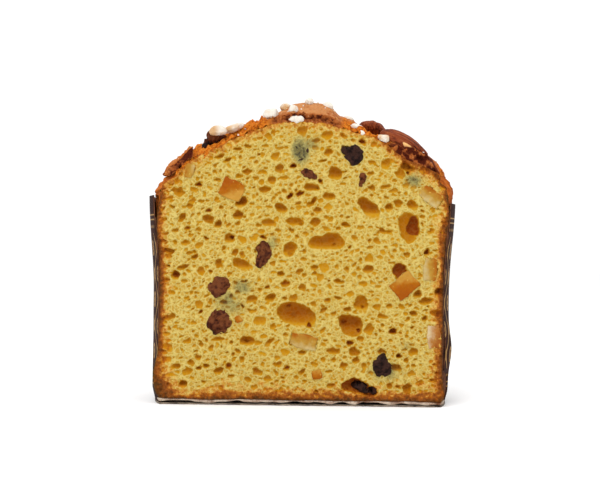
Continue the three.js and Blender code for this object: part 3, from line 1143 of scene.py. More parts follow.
@dataclass
class PoreMap:
    """A fine raster of the cut face: how deep it is, and how far it is to the nearest pore's edge."""

    low: tuple[float, float]
    high: tuple[float, float]
    pitch: float = 0.2

    def __post_init__(self) -> None:
        """Lays out the empty raster."""
        counts = [int((h - l) / self.pitch) + 2 for l, h in zip(self.low, self.high)]
        axes = [low + self.pitch * np.arange(count) for low, count in zip(self.low, counts)]
        self.across, self.up = np.meshgrid(*axes, indexing="ij")
        self.edge = np.full(self.across.shape, 9.0)
        self.depth = np.zeros(self.across.shape)
        self.tone = np.zeros(self.across.shape)
        points = spots(self.across, 0.0, self.up)
        self.warp_across = 0.7 * noise(points, 3.2, 11, 2)
        self.warp_up = 0.7 * noise(points, 3.2, 12, 2)
        self.warp_across += 0.35 * noise(points, 1.1, 13)
        self.warp_up += 0.35 * noise(points, 1.1, 14)

    def window(self, across: float, up: float, reach: float) -> tuple[slice, slice]:
        """The part of the raster within reach of a point.

        Args:
            across: Places across the cut.
            up: Places up the cut.
            reach: How far the window goes to each side.

        Returns:
            A slice for each axis.
        """
        slices = []
        for middle, low, count in zip((across, up), self.low, self.edge.shape):
            first = int((middle - reach - low) / self.pitch)
            last = int((middle + reach - low) / self.pitch) + 2
            slices.append(slice(max(first, 0), max(min(last, count), 0)))
        return slices[0], slices[1]

    def cut(self, pore: Pore, index: int, margin: float = 3.0) -> None:
        """Opens a pore.

        Args:
            pore: The pore.
            index: Its number, which picks its irregular outline.
            margin: How far outside it the distance to its edge has to be known.
        """
        large = max(pore.half_width, pore.half_height)
        at = self.window(pore.across, pore.up, large * 1.3 + margin)
        lean = math.radians(pore.lean)
        across = self.across[at] - pore.across + self.warp_across[at]
        up = self.up[at] - pore.up + self.warp_up[at]
        along = across * math.cos(lean) + up * math.sin(lean)
        beside = up * math.cos(lean) - across * math.sin(lean)
        out = np.hypot(along / pore.half_width, beside / pore.half_height)
        turn = np.arctan2(beside, along)
        phase = np.random.default_rng(index).uniform(0, 2 * math.pi, 4)
        wave = sum(np.sin(k * turn + phase[k - 2]) / k for k in (2, 3, 4, 5))
        out = out * (1 + pore.ragged * wave)
        small = min(pore.half_width, pore.half_height)
        self.keep_clear((out - 1) * (small + (large - small) * 0.3), at)
        sill = smooth_step((self.up[at] - pore.up) / small, 0.45, -0.8)
        hollow = pore.depth * np.clip(1 - out**3.0, 0, 1) ** 0.5 * (1 - pore.ramp * sill)
        deeper = hollow > self.depth[at]
        self.depth[at] = np.where(deeper, hollow, self.depth[at])
        self.tone[at] = np.where(deeper, pore.tone, self.tone[at])

    def keep_clear(self, distance: Array, at: tuple[slice, slice]) -> None:
        """Keeps new pores out of where distance is small."""
        self.edge[at] = np.minimum(self.edge[at], distance)

    def deepen(self, pore: Pore, index: int) -> None:
        """Adds a smaller hole in the floor of a pore that is already there.

        Args:
            pore: The hole.
            index: Its number, which picks its irregular outline.
        """
        at = self.window(pore.across, pore.up, max(pore.half_width, pore.half_height) * 1.4)
        across, up = self.across[at] - pore.across, self.up[at] - pore.up
        out = np.hypot(
            (across + 0.5 * self.warp_across[at]) / pore.half_width,
            (up + 0.5 * self.warp_up[at]) / pore.half_height,
        )
        out = out * (1 + 0.15 * np.sin(3 * np.arctan2(up, across) + index))
        self.depth[at] = self.depth[at] + pore.depth * np.clip(1 - out**2, 0, 1) ** 0.6
        self.tone[at] = np.where(out < 1, pore.tone, self.tone[at])

    def scatter(self, radius: float, spread: float, wall: float, tries: int, seed: int) -> int:
        """Fills what is left of the crumb with pores of about one size.

        Args:
            radius: Their usual radius.
            spread: How much it varies, as a share.
            wall: The thinnest crumb left between two pores.
            tries: How many places are tried.
            seed: Picks the places.

        Returns:
            How many pores were opened.
        """
        random = np.random.default_rng(seed)
        places = random.integers(0, self.edge.size, tries)
        sizes = radius * (1 + spread * random.uniform(-1, 1, tries))
        opened = 0
        for number, (place, size) in enumerate(zip(places, sizes)):
            i, j = divmod(int(place), self.edge.shape[1])
            if self.edge[i, j] < size + wall:
                continue
            flat = random.uniform(0.45, 0.95)
            tone = random.uniform(0, 1)
            depth = size * (random.uniform(0.3, 1.2) if tone < 0.95 else random.uniform(1.2, 1.9))
            across = self.across[i, j] - self.warp_across[i, j]
            up = self.up[i, j] - self.warp_up[i, j]
            lean, ragged, ramp = random.normal(0, 30), random.uniform(0.1, 0.3), random.uniform(0.3, 0.9)
            pore = Pore(across, up, size * 1.15, size * flat * 1.15, depth, lean, tone, ragged, ramp)
            self.cut(pore, seed * 7919 + number, size * 1.2 + wall + 0.3)
            opened += 1
        return opened

    def read(self, raster: Array, across: Array, up: Array) -> Array:
        """Reads a raster at points of the cut.

        Args:
            raster: One of the map's rasters.
            across: Places across the cut.
            up: Places up the cut.

        Returns:
            One value for each place.
        """
        i = np.clip((across - self.low[0]) / self.pitch, 0, raster.shape[0] - 1.001)
        j = np.clip((up - self.low[1]) / self.pitch, 0, raster.shape[1] - 1.001)
        i0, j0 = i.astype(int), j.astype(int)
        di, dj = i - i0, j - j0
        near = raster[i0, j0] * (1 - dj) + raster[i0, j0 + 1] * dj
        far = raster[i0 + 1, j0] * (1 - dj) + raster[i0 + 1, j0 + 1] * dj
        return near * (1 - di) + far * di

    def slopes(self, across: Array, up: Array, step: float = 0.12) -> list[Array]:
        """How fast the distance to the nearest pore's edge grows across the cut, and up it.

        Args:
            across: Places across the cut.
            up: Places up it.
            step: How far to each side the distances are read.

        Returns:
            The slope across and the slope up.
        """
        ahead = [self.read(self.edge, across + i, up + j) for i, j in ((step, 0), (0, step))]
        back = [self.read(self.edge, across - i, up - j) for i, j in ((step, 0), (0, step))]
        return [(far - near) / (2 * step) for far, near in zip(ahead, back)]


# Large pores, across and up the cut: half width, half height, depth, lean, tone.
LARGE_PORES = (
    Pore(10.6, 68.8, 7.6, 4.1, 3.2, 4, 0.35, 0.12, 0.95),
    Pore(-1.4, 37.6, 9.0, 5.4, 4.2, -36, 0.55, 0.12, 0.95),
    Pore(21.0, 34.2, 6.2, 3.9, 4.4, -38, 0.8, 0.14, 0.6),
    Pore(28.6, 83.2, 6.4, 2.9, 3.4, -42, 0.6, 0.12),
    Pore(45.1, 76.0, 4.5, 6.7, 2.3, 8, 0.4, 0.1, 0.3),
    Pore(13.6, 97.9, 2.9, 3.5, 2.8, 0, 0.2, 0.08),
    Pore(-5.0, 65.8, 2.9, 3.4, 2.6, 0, 0.3, 0.08),
    Pore(28.4, 57.8, 2.3, 2.1, 2.2, 0, 0.5, 0.08),
    Pore(28.5, 61.8, 1.6, 3.4, 0.9, 5, 0.1, 0.1),
    Pore(25.3, 42.8, 2.8, 4.3, 2.4, 14, 0.4, 0.08),
    Pore(46.5, 85.2, 2.3, 2.4, 2.2, 20, 0.35, 0.08),
    Pore(-2.9, 77.4, 4.2, 1.9, 1.8, -6, 0.5, 0.1),
    Pore(-13.7, 76.8, 3.8, 1.8, 1.6, -14, 0.35, 0.1),
    Pore(-8.8, 83.0, 2.9, 2.2, 2.6, -20, 0.5, 0.14),
    Pore(3.9, 91.9, 3.2, 1.7, 2.2, -8, 0.35, 0.08),
    Pore(11.3, 88.4, 2.6, 1.9, 2.0, 0, 0.35, 0.08),
    Pore(36.4, 84.0, 1.4, 2.2, 2.0, 0, 0.5, 0.1),
    Pore(-24.8, 59.2, 4.7, 2.4, 2.4, -22, 0.55, 0.1),
    Pore(-22.6, 27.0, 3.7, 2.3, 2.8, 0, 0.55, 0.06),
    Pore(-35.2, 27.6, 3.2, 1.2, 1.5, 5, 0.5, 0.1),
    Pore(-34.7, 14.1, 2.1, 1.7, 2.2, -8, 0.55, 0.06),
    Pore(-17.6, 35.2, 3.0, 2.5, 1.1, 10, 0.1, 0.08),
    Pore(-31.8, 103.2, 2.7, 1.1, 2.0, 42, 0.6, 0.1),
    Pore(-35.6, 104.6, 2.5, 1.0, 1.8, 38, 0.5, 0.1),
    Pore(-53.1, 54.4, 1.9, 2.0, 3.4, 0, 0.9, 0.1),
    Pore(-30.6, 70.1, 2.3, 2.1, 2.2, 20, 0.55, 0.1),
    Pore(-35.8, 76.0, 1.6, 1.6, 2.6, 0, 0.8, 0.1),
    Pore(44.5, 100.8, 3.4, 2.1, 3.4, -45, 0.6, 0.08),
    Pore(-3.9, 101.1, 1.4, 1.1, 3.0, 0, 1.0, 0.1),
    Pore(41.4, 57.4, 2.9, 3.4, 3.4, 0, 0.95, 0.1, 0.3),
    Pore(48.8, 47.4, 2.2, 1.6, 2.6, 45, 0.7, 0.05),
    Pore(-26.4, 85.6, 3.0, 2.2, 3.4, 48, 0.85, 0.06),
    Pore(-27.4, 80.0, 2.3, 2.0, 2.8, 0, 0.7, 0.1),
    Pore(52.7, 65.0, 1.0, 2.3, 3.0, -6, 0.9, 0.06),
    Pore(57.4, 48.4, 1.9, 2.1, 2.8, 0, 0.7, 0.05),
    Pore(38.9, 31.6, 2.0, 1.3, 3.4, 0, 0.95, 0.1),
    Pore(47.2, 39.2, 1.6, 1.3, 2.0, 10, 0.5, 0.1),
    Pore(51.8, 37.2, 1.2, 1.6, 2.2, 0, 0.55, 0.1),
    Pore(41.7, 21.3, 1.1, 1.3, 3.2, -20, 0.9, 0.08),
    Pore(34.5, 23.0, 1.9, 1.4, 1.9, -30, 0.4, 0.1),
    Pore(40.7, 16.3, 2.5, 1.6, 2.4, -15, 0.6, 0.1),
    Pore(55.5, 11.5, 1.4, 1.2, 2.0, 0, 0.4, 0.1),
    Pore(-40.0, 16.2, 1.5, 1.2, 2.2, 0, 0.7, 0.1),
    Pore(-43.2, 15.2, 1.1, 1.1, 2.0, 0, 0.6, 0.1),
    Pore(-49.4, 8.4, 2.0, 1.7, 2.6, -25, 0.8, 0.1),
    Pore(-8.6, 55.4, 1.6, 1.4, 2.0, 0, 0.5, 0.1),
    Pore(0.6, 22.4, 1.6, 1.2, 2.0, 10, 0.6, 0.1),
    Pore(16.2, 52.6, 2.0, 1.3, 1.8, -20, 0.4, 0.1),
    Pore(-45.6, 62.0, 1.7, 1.2, 2.0, 15, 0.5, 0.1),
    Pore(18.4, 76.4, 2.1, 1.3, 1.8, -30, 0.35, 0.1),
    Pore(23.6, 8.4, 5.6, 3.4, 4.2, -12, 0.95, 0.2, 0.5),
    Pore(29.6, 6.4, 3.0, 1.8, 4.0, 20, 1.0, 0.25, 0.4),
)
# Smaller holes in the floors of large pores.
INNER_HOLES = (
    Pore(3.4, 33.9, 1.1, 1.1, 1.8, 0, 0.95),
    Pore(-5.4, 42.4, 1.0, 0.7, 1.2, 0, 0.9),
    Pore(-3.0, 38.4, 1.3, 1.0, 0.9, 0, 0.8),
    Pore(24.3, 32.1, 0.8, 0.8, 1.6, 0, 1.0),
    Pore(18.4, 35.8, 1.2, 0.9, 0.9, 0, 0.9),
    Pore(26.0, 42.0, 0.8, 0.8, 1.5, 0, 0.85),
    Pore(13.6, 68.4, 0.8, 0.6, 1.2, 0, 0.8),
    Pore(47.0, 76.2, 2.7, 4.3, 2.6, 0, 1.0),
    Pore(44.4, 99.0, 0.8, 0.8, 1.8, 0, 1.0),
    Pore(-29.4, 70.8, 1.0, 0.8, 1.8, 0, 1.0),
    Pore(-22.9, 26.8, 1.2, 0.8, 1.0, 0, 0.85),
    Pore(-4.8, 64.0, 1.4, 0.9, 1.0, 0, 0.75),
    Pore(-0.6, 76.8, 0.8, 0.5, 1.2, 0, 0.8),
    Pore(6.4, 91.8, 0.5, 0.5, 1.0, 0, 0.9),
)
STAINS = (
    Stain(-1.0, 107.6, 3.6, 5.2, 1.25),
    Stain(2.4, 111.0, 6.0, 5.0, 0.5),
    Stain(-30.0, 43.0, 7.5, 5.5, 0.62),
    Stain(-24.5, 50.0, 4.5, 3.5, 0.75),
    Stain(-12.4, 68.6, 3.0, 4.0, 0.5),
    Stain(46.6, 96.2, 4.6, 4.0, 0.7),
    Stain(36.0, 15.0, 8.0, 5.0, 0.6),
    Stain(44.0, 26.0, 5.0, 4.0, 0.35),
)
SCATTERED = (
    # radius, spread, thinnest wall, tries
    (1.75, 0.25, 0.6, 300),
    (1.25, 0.3, 0.3, 1300),
    (0.9, 0.25, 0.2, 7000),
    (0.62, 0.25, 0.14, 50000),
)


@dataclass
class Loaf:
    """The crumb with its cut face and the baked skin round it, as one closed mesh."""

    form: Form
    columns: int = 300
    levels: int = 284
    skin_columns: int = 110
    skin_start: float = 0.8

    def skin_bump(self, points: Array) -> Array:
        """How far the baked skin draws back from its round form, in millimetres."""
        return 0.3 + 0.3 * noise(points, 7.0, 3, 3)

    def top(self, x: Array, y: Array) -> Array:
        """The height of the dome with its blisters.

        Args:
            x: Places across.
            y: Places back.

        Returns:
            Heights.
        """
        bump = 0.8 * noise(spots(x, y, 0.0), 5.0, 5, 3) + 0.6 * noise(spots(x, y, 0.0), 1.8, 6, 2)
        bump = bump + 0.4 * self.form.blister(x, y) - 1.3 * self.form.shoulder(x, y)
        return self.form.dome(x, y) - 0.2 + bump

    def settle(self, points: Array) -> Array:
        """Draws the left shoulder in from the paper, and lets the crumb spill over the paper's cut edge.

        Args:
            points: Points, one row each, in millimetres.

        Returns:
            The moved points.
        """
        level = points[:, 2]
        drawn = np.exp(-(((level - 90) / 10) ** 2)) * smooth_step(points[:, 0], 0.0, -60.0)
        drawn = drawn * np.where(level > 90, 0.4, 1.0)
        near_cut = self.form.behind(points[:, 1], 1.0, 0.5)
        outer = smooth_step(np.abs(points[:, 0]), 50.0, 59.0)
        spill = 0.7 * smooth_step(level, self.form.rim_height, self.form.rim_height - 6)
        spill = spill + 2.3 * np.exp(-(((level - 12) / 9) ** 2)) * (points[:, 0] < 0)
        spill = spill + 1.2 * np.exp(-(((level - 5) / 5) ** 2)) * (points[:, 0] > 0)
        above_rim = smooth_step(level, self.form.rim_height - 2, self.form.rim_height + 5)
        spill = spill * near_cut + 2.2 * noise(points, 3.0, 36, 2) * above_rim
        moved = points.copy()
        moved[:, 0] += 1.7 * drawn + np.sign(points[:, 0]) * spill * outer
        return moved

    def pores(self) -> PoreMap:
        """Opens every pore of the cut.

        Returns:
            The finished map.
        """
        reach = self.form.dome_radius
        pore_map = PoreMap((-reach, self.form.loaf_floor), (reach, self.form.rim_height + self.form.rise))
        for index, pore in enumerate(LARGE_PORES):
            pore_map.cut(pore, index)
        for node in nodes_named("raisin_") + nodes_named("orange_peel_") + nodes_named("citron_"):
            self.seat(pore_map, node)
        self.keep_rind(pore_map)
        counts = [pore_map.scatter(*row, seed) for seed, row in enumerate(SCATTERED)]
        LOG.info("pores of the cut: %d large, %s scattered", len(LARGE_PORES), counts)
        for index, pore in enumerate(INNER_HOLES):
            pore_map.deepen(pore, index)
        return pore_map

    def seat(self, pore_map: PoreMap, node: str) -> None:
        """Sinks the crumb a little round a piece of fruit, and keeps pores off it.

        Args:
            pore_map: The raster of the cut.
            node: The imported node.
        """
        points = node_points(node)
        behind = points[:, 1].min() > 1.0 - self.form.cut
        flat = points[points[:, 1] < points[:, 1].min() + 1.5][:, [0, 2]]
        hull = flat[convex_hull_2d([Vector(p) for p in flat])]
        centre = hull.mean(0)
        at = pore_map.window(centre[0], centre[1], np.ptp(hull, axis=0).max() / 2 + 3)
        distance = np.full(pore_map.edge[at].shape, -99.0)
        for first, second in zip(hull, np.roll(hull, -1, axis=0)):
            side = second - first
            out = np.array([side[1], -side[0]]) / max(np.hypot(*side), 1e-6)
            out = out * np.sign(out @ (first - centre))
            away = (pore_map.across[at] - first[0]) * out[0] + (pore_map.up[at] - first[1]) * out[1]
            distance = np.maximum(distance, away)
        distance = distance + 1.4 * pore_map.warp_across[at]
        pore_map.keep_clear(distance - 0.3, at)
        if not behind:
            sunk = 1.8 * smooth_step(distance, -0.2, -1.2)
            pore_map.depth[at] = np.maximum(pore_map.depth[at], sunk)
            pore_map.tone[at] = np.where(sunk > 0.1, 0.6, pore_map.tone[at])

    def keep_rind(self, pore_map: PoreMap) -> None:
        """Keeps pores inside the crust.

        Args:
            pore_map: The raster of the cut.
        """
        half = np.sqrt(self.form.loaf_radius(pore_map.up) ** 2 - self.form.cut**2)
        crown = self.form.dome(pore_map.across, -self.form.cut)
        upright = np.minimum(crown - pore_map.up, pore_map.up - 4.5)
        inside = np.minimum(half - np.abs(pore_map.across), upright)
        pore_map.edge = np.minimum(pore_map.edge, inside - 0.5)

    def cut_face(self) -> tuple[Array, Array, dict[str, Array]]:
        """The cut's grid of points, their numbers, and what is stored on them.

        Returns:
            The points, the grid of their numbers, and the stored values.
        """
        across = np.linspace(0, 1, self.columns + 1)[:, None]
        up = np.linspace(0, 1, self.levels + 1)[None, :]
        level = self.form.loaf_floor + up * (self.form.rim_height - self.form.loaf_floor)
        half = np.sqrt(self.form.loaf_radius(level) ** 2 - self.form.cut**2)
        corner = 0.9 * smooth_step(level, self.form.loaf_floor + 2.5, self.form.loaf_floor)
        left, right = (
            sign * (half - corner - self.skin_bump(spots(sign * half, -self.form.cut, level)))
            for sign in (-1, 1)
        )
        x = left + across * (right - left)
        low = self.form.underside(x, np.full_like(x, -self.form.cut))
        high = self.top(x, np.full_like(x, -self.form.cut))
        z = low + up * (high - low)
        pore_map = self.pores()
        for _ in range(2):
            edge = pore_map.read(pore_map.edge, x, z)
            slope_x, slope_z = pore_map.slopes(x, z)
            steep = np.maximum(slope_x**2 + slope_z**2, 0.3)
            snap = np.where((np.abs(edge) < 0.2) & (edge < 8), -edge / steep, 0)
            snap[[0, -1], :] = 0
            snap[:, [0, -1]] = 0
            x = x + np.clip(snap * slope_x, -0.2, 0.2)
            z = z + np.clip(snap * slope_z, -0.2, 0.2)
        depth = pore_map.read(pore_map.depth, x, z)
        edge = pore_map.read(pore_map.edge, x, z)
        flat = spots(x, 0.0, z)
        grain = 0.12 * noise(flat, 9.0, 21, 2) + 0.1 * noise(flat, 1.2, 22, 2)
        rim = np.minimum(np.minimum(x - left, right - x), np.minimum(z - low, high - z))
        depth = depth * smooth_step(rim, 0.0, 0.8) + grain * smooth_step(rim, 0.0, 1.0)
        points = rows(x, depth - self.form.cut, z)
        stored = {
            # The crumb's material darkens its colour with this depth: painted shade in the pores and the
            # grooves round the fruit.
            "pore": np.clip(depth / 5.0, 0, 1),
            "wall": np.exp(-np.maximum(edge, 0) / 0.4) * (edge > -0.1),
            "tone": pore_map.read(pore_map.tone, x, z),
            "bake": self.baking(x, z, x - left, right - x, z - low, high - z),
            "stain": self.staining(x, z),
        }
        index = np.arange(x.size).reshape(x.shape)
        return points, index, {title: column.ravel() for title, column in stored.items()}

    def baking(self, x: Array, z: Array, left: Array, right: Array, low: Array, high: Array) -> Array:
        """How browned the cut is, from its distances to the four sides of the crust.

        Args:
            x: Places across.
            z: Places up.
            left: Distances to the left side.
            right: Distances to the right side.
            low: Distances to the underside.
            high: Distances to the dome.

        Returns:
            Shares from 0 to 1.
        """
        uneven = 1 + 0.55 * noise(spots(x, 0.0, z), 9.0, 31, 3)
        shoulder = smooth_step(x, 20.0, 58.0)
        lying = 1 + 0.7 * noise(spots(x * 0.3, 0.0, z), 0.9, 33, 2)
        standing = 1 + 0.6 * noise(spots(x, 0.0, z * 0.3), 1.1, 34, 2)
        browned = [
            0.98 * np.exp(-left / (2.3 * uneven * standing)),
            0.98 * np.exp(-right / (2.6 * uneven * standing)),
            0.98 * np.exp(-low / (3.6 * uneven * lying)),
            (0.42 + 0.4 * shoulder + 0.08 * (x < -15)) * np.exp(-high / ((4.0 - 0.6 * shoulder) * uneven)),
        ]
        corner = 0.8 * np.exp(-(((x + 59) / 5.5) ** 2) - ((z - 8) / 6) ** 2)
        return np.clip(1 - np.prod([1 - b for b in browned + [corner]], axis=0), 0, 1)

    def staining(self, x: Array, z: Array) -> Array:
        """How strongly juice has stained each point of the cut.

        Args:
            x: Places across.
            z: Places up.

        Returns:
            Strengths.
        """
        total = np.zeros(x.shape)
        for stain in STAINS:
            out = ((x - stain.across) / stain.spread_across) ** 2 + ((z - stain.up) / stain.spread_up) ** 2
            total = np.maximum(total, stain.strength * np.exp(-out))
        ragged = noise(spots(x, 0.0, z), 3.0, 41, 3)
        return np.clip(total * (1 + 0.6 * ragged), 0, 1.4)

    def skin(self) -> tuple[list[Array], Array, Array]:
        """The baked skin behind the cut, as rows of points from the crown down and round to the underside.

        Returns:
            The rows, the crown's point and the lowest point.
        """
        front = self.form.cut - self.skin_start
        heading = np.linspace(0, math.pi, self.skin_columns + 1)
        crown = np.array([0.0, -front, self.top(np.zeros(1), np.full(1, -front))[0]])
        under = np.array([0.0, -front, self.form.underside(np.zeros(1), np.full(1, -front))[0]])
        layers = []

        def around(radius: float, share: float = 1.0) -> tuple[Array, Array]:
            """Points round the loaf, at a share of the way out from the middle of the cut."""
            reach = share * self.form.ray(heading, radius, front)
            return reach * np.cos(heading), reach * np.sin(heading) - front

        for share in np.sin(np.linspace(0, math.pi / 2, 60))[1:-1]:
            x, y = around(self.form.dome_radius, share)
            layers.append(rows(x, y, self.top(x, y)))
        lowest = self.form.loaf_floor
        for level in np.linspace(self.form.rim_height, lowest + 3, 34):
            x, y = around(float(self.form.loaf_radius(level)))
            points = rows(x, y, level)
            draw = 1 - self.skin_bump(points) / self.form.foot_radius
            layers.append(points * np.stack([draw, draw, np.ones(len(draw))], axis=-1))
        for inset, rise in ((0.5, 1.6), (1.5, 0.7), (3.0, 0.0)):
            x, y = around(float(self.form.loaf_radius(lowest)) - inset)
            layers.append(rows(x, y, self.form.underside(x, y) + rise))
        for share in np.linspace(1, 0, 12)[1:-1]:
            x, y = around(float(self.form.loaf_radius(lowest)) - 3, share)
            layers.append(rows(x, y, self.form.underside(x, y)))
        return layers, crown, under

    def build(self, crumb: bpy.types.Material, crust: bpy.types.Material) -> None:
        """Joins the cut face to the skin and hands the loaf over.

        Args:
            crumb: The cut's material.
            crust: The skin's material.
        """
        face, face_index, stored = self.cut_face()
        layers, crown, under = self.skin()
        start = len(face)
        skin_index = start + np.arange(len(layers) * (self.skin_columns + 1)).reshape(len(layers), -1)
        points = np.concatenate([face, *layers, crown[None], under[None]])
        crown_at, under_at = len(points) - 2, len(points) - 1
        loop = np.concatenate([skin_index[:, 0], [under_at], skin_index[::-1, -1], [crown_at]])
        sides = [face_index[0, :-1], face_index[:-1, -1], face_index[-1, :0:-1], face_index[:0:-1, 0]]
        rim = np.concatenate(sides)
        seam = stitch(points, rim, loop, (0.0, 52.0), (0, 2))
        caps = np.concatenate([fan_faces(skin_index[0], crown_at), fan_faces(skin_index[-1], under_at)])
        extra = len(points) - start
        values = {title: np.concatenate([column, np.zeros(extra)]) for title, column in stored.items()}
        values["bake"][start:] = 1.0
        faces = [grid_faces(face_index), grid_faces(skin_index), seam, caps]
        shell = Shell(self.settle(points), faces, values, [0, 1, 1, 1])
        hand_over(shell.piece("loaf_crumb_and_crust", [crumb, crust]), "crumb", "loaf")


@dataclass
class Glaze:
    """The baked nut and sugar glaze over the dome, with its puffed blister and its lifted flake."""

    form: Form
    headings: int = 300
    rings: int = 130
    wall_rows: int = 14
    bed: float = 0.5
    thickness: float = 1.6
    edge_radius: float = 57.0

    def outline(self, heading: Array) -> Array:
        """How far the glaze reaches from the middle of the cut along each heading.

        Args:
            heading: Directions, 0 along +X and a half turn along -X.

        Returns:
            A length for each heading.
        """
        wide = self.edge_radius + 5.0 * smooth_step(np.cos(heading), 0.8, 1.0)
        reach = self.form.ray(heading, wide, self.form.cut)
        x, y = reach * np.cos(heading), reach * np.sin(heading) - self.form.cut
        azimuth = np.arctan2(y, x)
        ragged = 1 + 0.025 * np.sin(5 * azimuth + 1) + 0.02 * np.sin(11 * azimuth)
        ragged = ragged + 0.016 * noise(spots(x, y, 0.0), 5.0, 51, 3)
        return self.form.ray(heading, wide * ragged, self.form.cut)

    def relief(self, x: Array, y: Array) -> tuple[Array, Array]:
        """The glaze's own roughness in millimetres, and how deep its cracks are from 0 to 1.

        Args:
            x: Places across.
            y: Places back.

        Returns:
            The roughness, and the cracks.
        """
        flat = spots(x, y, 0.0)
        cracks = smooth_step(np.abs(noise(flat, 15.0, 61, 3)), 0.035, 0.0)
        cracks = cracks * smooth_step(noise(flat, 22.0, 64), -0.1, 0.3)
        lumps = 0.45 * noise(flat, 6.0, 62, 3) + 0.6 * noise(flat, 1.6, 63, 2)
        crumbly = np.maximum(self.form.behind(y, 3.5, 0.0), 0.8 * self.form.film(x, y))
        lumps = lumps + 3.0 * noise(flat, 2.0, 65, 3) * crumbly
        return lumps - 0.8 * cracks, cracks

    def height(self, x: Array, y: Array, share: Array) -> tuple[Array, Array]:
        """The top of the glaze, and its cracks.

        Args:
            x: Places across.
            y: Places back.
            share: How far out each point is, from 0 to 1.

        Returns:
            The heights, and the cracks.
        """
        rough, cracks = self.relief(x, y)
        thinned = 1 - 0.75 * np.clip(share, 0, 1) ** 8
        calm = 1 - 0.7 * self.form.blister(x, y) / self.form.blister_height
        cover = self.form.cover(x, y)
        chunk = 1.6 * self.form.shoulder(x, y) * smooth_step(share, 1.0, 0.92)
        body = self.form.dome(x, y) + self.bed + (self.thickness * cover + 0.6 * rough * calm) * thinned
        return body + 0.4 * rough * calm + chunk + self.form.blister(x, y), cracks * calm

    def build(self, finish: bpy.types.Material) -> bpy.types.Object:
        """Builds the glaze as one closed mesh: its top, its crumbled edge and its underside.

        Args:
            finish: The piece's material.

        Returns:
            The piece.
        """
        heading = np.linspace(0, math.pi, self.headings + 1)[:, None]
        share = np.linspace(0, 1, self.rings + 1)[None, :] ** 0.9
        reach = share * self.outline(heading.ravel())[:, None]
        x = reach * np.cos(heading)
        front = np.exp(-reach * np.sin(heading) / 1.2)
        ragged = noise(spots(x, 0.0, 0.0), 2.2, 71, 3)
        y = reach * np.sin(heading) - self.form.cut + front * (0.15 + 0.45 * ragged)
        z, cracks = self.height(x, y, share)
        index = np.arange(x.size).reshape(x.shape)
        index[:, 0] = index[0, 0]
        top = rows(x, y, z)
        rim = np.concatenate([index[0, :-1], index[:-1, -1], index[-1, :0:-1]])
        edge = top[rim]
        edge_plan = edge[:, 0], edge[:, 1]
        puffed = self.form.blister(*edge_plan) / self.form.blister_height
        at_front = self.form.behind(edge[:, 1], 3.0, 1.6)
        bottom = self.form.dome(*edge_plan) - 0.5 + 2.1 * puffed * at_front
        bottom = bottom - 1.3 * self.form.shoulder(*edge_plan)
        jagged = 2.0 * noise(edge * np.array([1, 0, 0]), 1.6, 84, 2)
        bottom = bottom + jagged * at_front * self.form.film(*edge_plan)
        shoulder = at_front * smooth_step(edge[:, 0], 33.0, 38.0)
        middle = np.array([0.0, 14.0])
        inwards = middle - edge[:, :2]
        inwards = inwards / np.linalg.norm(inwards, axis=1)[:, None]
        inwards = np.where(at_front[:, None] > 0.5, np.array([0.0, 1.0]), inwards)
        layers = [top]
        puffed_top = self.form.blister(x, y) / self.form.blister_height
        near_cut = np.exp(-reach * np.sin(heading) / 4.0) * smooth_step(x, 33.0, 38.0)
        # Cracks are painted darker as painted shade; the front along the cut darkens, the blister's top
        # pales, and the stored relief darkens low spots.
        scorch_and_crack_shade = 0.6 * cracks + 0.35 * front * (1 - puffed_top) - 0.3 * puffed_top
        burn = [(scorch_and_crack_shade + near_cut * (0.7 + 0.8 * noise(spots(x, y, 0.0), 2.0, 66, 2))).ravel()]
        relief = [0.5 + 0.6 * self.relief(x, y)[0].ravel()]
        loops = [rim]
        total = len(top)
        for row in range(1, self.wall_rows + 1):
            down = row / self.wall_rows
            level = edge[:, 2] + (bottom - edge[:, 2]) * down
            rough = noise(rows(edge[:, 0], edge[:, 1], level), 1.7, 81, 2)
            layered = noise(rows(edge[:, 0] * 0.35, edge[:, 1], level), 1.5, 83, 2)
            seam = smooth_step(np.abs(layered), 0.2, 0.0) * (puffed + 0.5 * shoulder)
            hollow = math.sin(math.pi * min(down * 1.15, 1)) * (0.15 + at_front * (0.05 + 1.15 * puffed))
            inset = hollow + ((0.8 + 1.6 * shoulder) * rough + 1.3 * seam) * math.sin(math.pi * down)
            layers.append(np.column_stack([edge[:, :2] + inwards * np.maximum(inset, -0.5)[:, None], level]))
